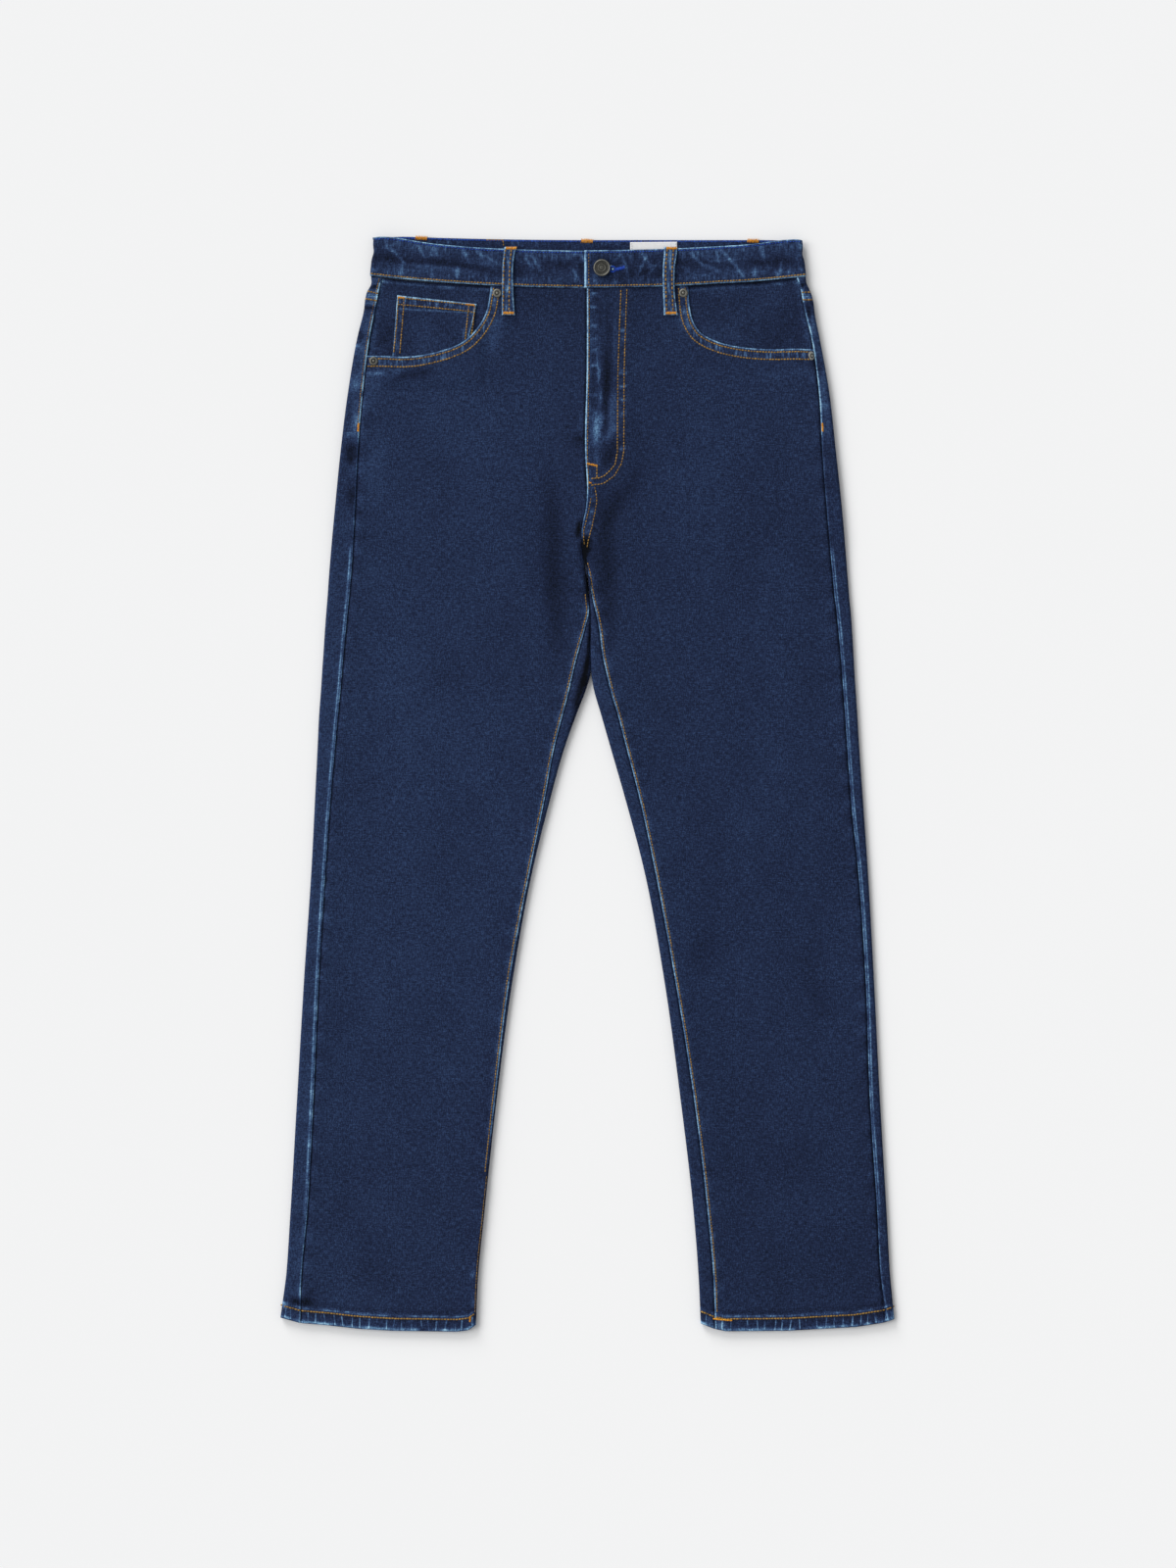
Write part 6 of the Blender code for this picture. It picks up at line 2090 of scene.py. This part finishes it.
# A front belt loop along its length: level, underside's height, middle and width
RIGHT_LOOP = (
    (478, 7.9, -81.2, 13.6), (488, 8.2, -81.6, 12.8), (500, 9.4, -81.9, 12), (508, 10, -81.9, 11.6),
    (528, 10.2, -81.7, 11.2), (542, 9.4, -80.1, 11.8), (547.5, 9.2, -79, 12.6),
)
LEFT_LOOP = (
    (478, 7.9, 84.4, 14.2), (488, 8.2, 83.6, 13.2), (500, 9.4, 82.6, 12.2), (508, 10, 82.3, 12.2),
    (528, 10.2, 82.6, 12.6), (542, 9.4, 84.2, 13.4), (547.5, 9.2, 84.4, 13.6),
)
FRONT_LOOP_SHARES = np.array(
    [0, 0.03, 0.07, 0.13, 0.2, 0.28, 0.36, 0.44, 0.52, 0.6, 0.68, 0.76, 0.83, 0.89, 0.94, 0.97, 1]
)
BACK_LOOP_SHARES = np.array([0.0, 0.04, 0.1, 0.2, 0.32, 0.44, 0.56, 0.68, 0.8, 0.9, 0.96, 1.0])


@dataclass
class FrontLoop(Piece):
    """A front belt loop: it lies on the waistband and steps down to the front panel."""

    name: str
    stations: tuple[Row, ...]
    rows_at: tuple[float, float]
    seed: int

    @property
    def ends(self) -> tuple[float, float]:
        """Its lower and upper level."""
        return self.stations[0][0], self.stations[-1][0]

    def middle(self, y: Array | float) -> Array:
        """Where its middle is."""
        return smooth_table(self.stations, 2, y)

    def width(self, y: Array | float) -> Array:
        """How wide it is."""
        return smooth_table(self.stations, 3, y)

    def surface(self, x: Array, y: Array) -> Array:
        """Height of its upper face: two low rolls beside a sunk middle, and rounded edges."""
        share = np.clip((x - self.middle(y)) / self.width(y) + 0.5, 0, 1)
        edge = to_end(share, self.width(y))
        crown = 0.22 * bell(edge, 2.2, 1.4) - rounded(edge, 0.9)
        crown += 0.14 * Puckers(self.seed, 6, 5, 0.7).at(y, edge)
        return smooth_table(self.stations, 1, y) + LOOP + crown

    def cloth(self) -> Cloth:
        """The strip, whose ends are rounded down."""
        low, high = self.ends
        share = FRONT_LOOP_SHARES
        y = (low + edged(high - low, 1.2) * (high - low))[:, None]
        x, y = np.broadcast_arrays(self.middle(y) + (share - 0.5) * self.width(y), y)
        ends = np.minimum(y - low, high - y)
        edge = to_end(share, self.width(y))
        z = self.surface(x, y) - rounded(ends, 0.9)
        rub = 0.95 * bell(edge, 0.7, 0.8) * (0.8 + 0.2 * Unevenness(self.seed, 5, 12).at(x, y))
        rub += 0.5 * bell(ends, 0.8, 1) + 0.16 * bell(edge, 5.6, 2.6)
        shade = 0.7 * Unevenness(self.seed + 1, 5, 10).at(x, y) - 0.2
        return Cloth(
            f"belt_loop_front_{self.name}", joined(x, y, z),
            WearAndShade(rub, 0.8 * bell(edge, 5.6, 2.6) + 0.15, shade),
            wall=LOOP, materials=ONE_FACE, offset=(50 * self.seed, 0), held="folded",
            rests_on=(f"waistband_front_{self.name}", f"front_{self.name}"),
        )

    def sewing(self) -> Sequence[Sewing]:
        """Two rows down it and a tack at each end."""
        low, high = self.ends
        rows, tacks = rows_and_tacks(f"loop_{self.name}", self.surface, self.seed)
        y = np.linspace(low + 4, high - 2, 30)
        for inset in self.rows_at:
            rows.row(joined(self.middle(y) - self.width(y) / 2 + inset, y), pitch=4.2, length=3.6, width=1.7)
        for level, over in ((low + 2.2, 0.4), (high - 1.4, 1)):
            middle = float(self.middle(level)) + over
            tacks.satin([(middle - 5.3, level), (middle + 5.3, level)], breadth=3.6)
        return rows, tacks


@dataclass
class BackLoop(Piece):
    """A back belt loop, flat on the table under the waistband."""

    name: str
    seed: int
    width: float = 13.0
    length: float = 70.0

    @property
    def x(self) -> float:
        """Where its middle is."""
        return BACK_LOOP_XS[self.name]

    @property
    def top(self) -> float:
        """Its upper level."""
        return float(back_band_top_y(self.x)) + 0.6

    def cloth(self) -> Cloth:
        """The strip, face down, with two low rolls."""
        y = (self.top - self.length * (1 - edged(self.length, 1.8)))[:, None]
        x, y = np.broadcast_arrays(self.x + (BACK_LOOP_SHARES - 0.5) * self.width, y)
        edge = to_end(BACK_LOOP_SHARES, self.width)
        ends = np.minimum(self.top - y, y - self.top + self.length)
        z = UNDERSIDE - 0.15 * bell(edge, 2.2, 1.4) + rounded(edge, 0.6) + rounded(ends, 0.6)
        rub = 0.8 * bell(edge, 0.6, 0.8) + 0.4 * bell(ends, 0.8, 1)
        shade = 0.6 * Unevenness(self.seed, 5, 10).at(x, y)
        return Cloth(
            f"belt_loop_back_{self.name}", joined(x, y, z), WearAndShade(rub, 0.6 * bell(edge, 5, 3) + 0.2, shade),
            wall=LOOP - 0.4, turned=True, materials=ONE_FACE, held="folded", offset=(50 * self.seed, 0),
        )

    def sewing(self) -> Sequence[Sewing]:
        """Two rows down it and a tack at each end, underneath."""
        high, low = self.top - 2, self.top - self.length + 2
        rows, tacks = rows_and_tacks(f"loop_back_{self.name}", flat(UNDERSIDE), self.seed, under=True)
        for over in (-3.2, 3.2):
            rows.row([(self.x + over, high), (self.x + over, low)], pitch=3.4)
        for level in (high, low):
            tacks.satin([(self.x - 5.4, level), (self.x + 5.4, level)], height=0.28)
        return rows, tacks


@dataclass
class Label(Piece):
    """The blank woven label inside the back waistband."""

    corners: tuple[Row, ...] = ((43, 524), (91, 524), (43, 553), (91, 553.4))
    width: float = 48.0
    height: float = 29.0
    top: float = 5.6

    def surface(self, x: Array, y: Array) -> Array:
        """Height of its face: nearly flat."""
        return self.top + 0.1 * Unevenness(91, 15, 12).at(x, y)

    def cloth(self) -> Cloth:
        """The label, with rounded edges."""
        rows, columns = edged(self.height, 1.5), edged(self.width, 1.5)
        x, y = four_sided(self.corners, rows, columns)
        edge = np.minimum(to_end(columns, self.width), to_end(rows, self.height)[:, None])
        return Cloth(
            "label", joined(x, y, self.surface(x, y) - rounded(edge, 0.5)), wall=0.7, slot="label",
            materials=("label_cloth",), rests_on=("waistband_back",),
        )

    def sewing(self) -> Sequence[Sewing]:
        """A row at each end."""
        rows = Sewing("stitches_label", Thread.WHITE, self.surface, 92)
        for inset in (1.6, self.width - 1.6):
            x = self.corners[0][0] + inset
            rows.row([(x, 525), (x, 552.4)], pitch=2.2, length=1.7, width=0.5)
        return (rows,)


@dataclass
class Buttonhole(Piece):
    """The keyhole in the waistband's upper end, worked in blue."""

    band: Band
    eye: tuple[float, float] = (25.1, 524.8)
    end: tuple[float, float] = (37.4, 526.8)

    def sewing(self) -> Sequence[Sewing]:
        """Satin stitches round the eye and over the slit, and a pale eye."""
        turn = np.linspace(0, 2 * math.pi, 25)
        work = Sewing("buttonhole", Thread.BLUE, self.band.surface, 95)
        work.satin(np.array(self.eye) + 2.8 * joined(np.cos(turn), np.sin(turn)), pitch=0.5, height=0.6)
        work.satin([(self.eye[0] + 3.3, self.eye[1] - 0.6), self.end], breadth=4.4, pitch=0.5, height=0.6)
        eye = Sewing("buttonhole_eye", Thread.PALE, self.band.surface, 96)
        eye.satin([(24.2, 524.7), (26.2, 525)], breadth=2.4, pitch=0.6, height=0.7)
        eye.satin([(22, 527.6), (24, 528.4)], breadth=1.2, pitch=0.6, height=0.5)
        return work, eye


# Metal

# A turned piece's outline from its upper to its lower pole: radius, height and how rubbed it is
BUTTON_OUTLINE = (
    (0, 3.05, 0.45), (1.4, 3.1, 0.5), (2.2, 2.95, 0.2), (2.7, 2.7, 0), (3.1, 2.95, 0.4), (3.8, 3.1, 0.5),
    (4.4, 2.95, 0.2), (4.8, 2.75, 0), (5.4, 2.95, 0.25), (6.2, 3, 0.3), (6.7, 2.95, 0.1), (7, 3.2, 0.4),
    (7.5, 3.65, 0.9), (8, 3.62, 0.9), (8.45, 3.3, 0.6), (8.7, 2.8, 0.4), (8.6, 2.3, 0.2), (8.1, 1.9, 0),
    (4.2, 1.6, 0), (4, 1.3, 0), (4, -0.3, 0), (0, -0.3, 0),
)
RIVET_OUTLINE = (
    (0, 1.4, 0.9), (0.8, 1.36, 0.9), (1.3, 1.15, 0.5), (1.6, 0.75, 0), (2, 0.7, 0), (2.4, 0.95, 0.3),
    (3, 1.1, 0.8), (3.7, 1.02, 0.8), (4.3, 0.75, 0.6), (4.65, 0.4, 0.5), (4.7, 0.1, 0.2), (4.6, -0.2, 0),
    (0, -0.2, 0),
)


@dataclass
class TurnedMetal(Piece):
    """A button or rivet: an outline turned round its own axis, rolled about +Y and put in its place."""

    node: str
    outline: tuple[Row, ...]
    place: tuple[float, float, float]
    roll: float = 0.0
    steps: int = 40
    # Painted light: how much paler, or below 0 darker, this piece's metal is painted, for how light falls on
    # it
    brighter: float = 0.0
    finish: str = "button_metal"

    def build(self, workshop: Workshop) -> None:
        """Point = (radius cos a, radius sin a, height), with one point at each pole."""
        radius, height, rub = np.array(self.outline).T
        turn = np.arange(self.steps) * 2 * math.pi / self.steps
        inner = radius[1:-1, None]
        rings = joined(inner * np.cos(turn), inner * np.sin(turn), height[1:-1, None])
        poles = [[0, 0, height[0]], [0, 0, height[-1]]]
        roll = math.radians(self.roll)
        cos, sin = math.cos(roll), math.sin(roll)
        about_y = np.array([[cos, 0, sin], [0, 1, 0], [-sin, 0, cos]])
        points = np.concatenate([rings.reshape(-1, 3), poles]) @ about_y.T + self.place
        ring = np.arange(rings[..., 0].size).reshape(-1, self.steps)
        after = np.roll(ring, -1, axis=1)
        faces = np.stack([ring[:-1], ring[1:], after[1:], after[:-1]], axis=-1).reshape(-1, 4).tolist()
        faces += [[ring.size, a, b] for a, b in zip(ring[0].tolist(), after[0].tolist())]
        faces += [[ring.size + 1, b, a] for a, b in zip(ring[-1].tolist(), after[-1].tolist())]
        mesh = new_mesh(f"{self.node}_metal", points, faces)
        # The rub values also carry the piece's painted light
        rub = rub + self.brighter
        add_values(mesh, "rub", np.concatenate([np.repeat(rub[1:-1], self.steps), rub[[0, -1]]]))
        workshop.put(mesh, [self.finish], [self.node], "aged_metal")


def rivet(leg: Leg, corner: str, x: float, y: float, proud: float = 0.45, **look: Any) -> TurnedMetal:
    """A rivet on the front panel's corner, which stands proud of the cloth; look is its other fields."""
    reach = leg.side * x
    height = float(leg.top_height(reach, y) + leg.raised(reach, y))
    return TurnedMetal(f"rivet_{leg.name}_{corner}", RIVET_OUTLINE, (x, y, height + proud), steps=28, **look)


# Scene


@dataclass
class Studio:
    """The pale table, soft light from the top of the view, and the camera straight above."""

    table: float = 6000.0
    table_drop: float = 0.3
    camera_height: float = 4450.0
    lens: float = 100.0
    sensor: float = 36.0
    farthest: float = 50_000.0
    sky: Row = (0.98, 0.99, 1, 1)
    sky_strength: float = 0.44

    def build(self, workshop: Workshop) -> None:
        """Makes table, lights, sky and camera."""
        half = self.table / 2
        corners = ((-half, -half), (half, -half), (half, half), (-half, half))
        mesh = bpy.data.meshes.new("table")
        mesh.from_pydata([(x * MM, y * MM, -self.table_drop * MM) for x, y in corners], [], [(0, 1, 2, 3)])
        mesh.materials.append(workshop.finishes["table_top"])
        self.placed("table", mesh)
        self.sun("window", (-0.55, 1), elevation=24, strength=1.95, spread=30)
        self.sun("overhead", (-1, 0.2), elevation=42, strength=1.45, spread=40)
        world = bpy.data.worlds.new("studio")
        world.use_nodes = True
        background = world.node_tree.nodes["Background"]
        background.inputs["Color"].default_value = self.sky
        background.inputs["Strength"].default_value = self.sky_strength
        bpy.context.scene.world = world
        view = bpy.context.scene.view_settings
        view.view_transform = "Standard"
        view.look = "None"
        camera = bpy.data.cameras.new("camera")
        camera.lens = self.lens
        camera.sensor_width = self.sensor
        camera.clip_end = self.farthest * MM
        seat = self.placed("camera", camera)
        seat.location = (0, 0, self.camera_height * MM)
        bpy.context.scene.camera = seat

    def placed(self, name: str, data: bpy.types.ID) -> bpy.types.Object:
        """An object in the scene with its data."""
        thing = bpy.data.objects.new(name, data)
        bpy.context.scene.collection.objects.link(thing)
        return thing

    def sun(self, name: str, towards: Row, elevation: float, strength: float, spread: float) -> None:
        """A distant soft light, towards a side seen from above; elevation and spread are in degrees."""
        light = bpy.data.lights.new(name, "SUN")
        light.energy = strength
        light.angle = math.radians(spread)
        turn = math.atan2(towards[0], -towards[1])
        self.placed(name, light).rotation_euler = (math.radians(90 - elevation), 0, turn)


def pieces() -> list[Piece]:
    """Every piece, from the table up."""
    made: list[Piece] = []
    for leg in LEGS:
        made += [BackPocket(leg), BackPanel(leg), Yoke(leg), FrontPanel(leg), Facing(leg)]
    upper = Band(LEFT, -3.8, 10.4, (42, 74))
    made += [CoinPocket(), FlyZip(), BackBand(), Band(RIGHT, -38, 7.5, (8, 40)), upper, Buttonhole(upper)]
    made += [FrontLoop("right", RIGHT_LOOP, (1.6, 7.6), 121), FrontLoop("left", LEFT_LOOP, (3, 9.6), 131)]
    made += [BackLoop("right", 141), BackLoop("center", 151), BackLoop("left", 161), Label()]
    made += [
        # Rivets get painted light or shade: the waist rivets paler, the side rivets darker, and the left side
        # rivet, tilted away from the lights, the paler copy of the metal
        rivet(RIGHT, "waist", -92.5, 500.6, brighter=0.15),
        rivet(RIGHT, "side", -218.6, 431.3, roll=-4, brighter=-0.15),
        rivet(LEFT, "waist", 97.3, 500.8, brighter=0.15),
        rivet(LEFT, "side", 227.6, 436.6, 1.6, roll=48, brighter=-0.05, finish="worn_metal"),
        TurnedMetal("button", BUTTON_OUTLINE, (14.1, 525.9, 10.7)),
    ]
    return made


def main() -> None:
    """Loads the frame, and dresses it."""
    logging.basicConfig(level=logging.INFO, format="%(message)s")
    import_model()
    workshop = Workshop()
    Studio().build(workshop)
    for piece in pieces():
        piece.build(workshop)
        piece.dress(workshop)
    LOG.info("%d pieces", workshop.count)


if __name__ == "__main__":
    main()
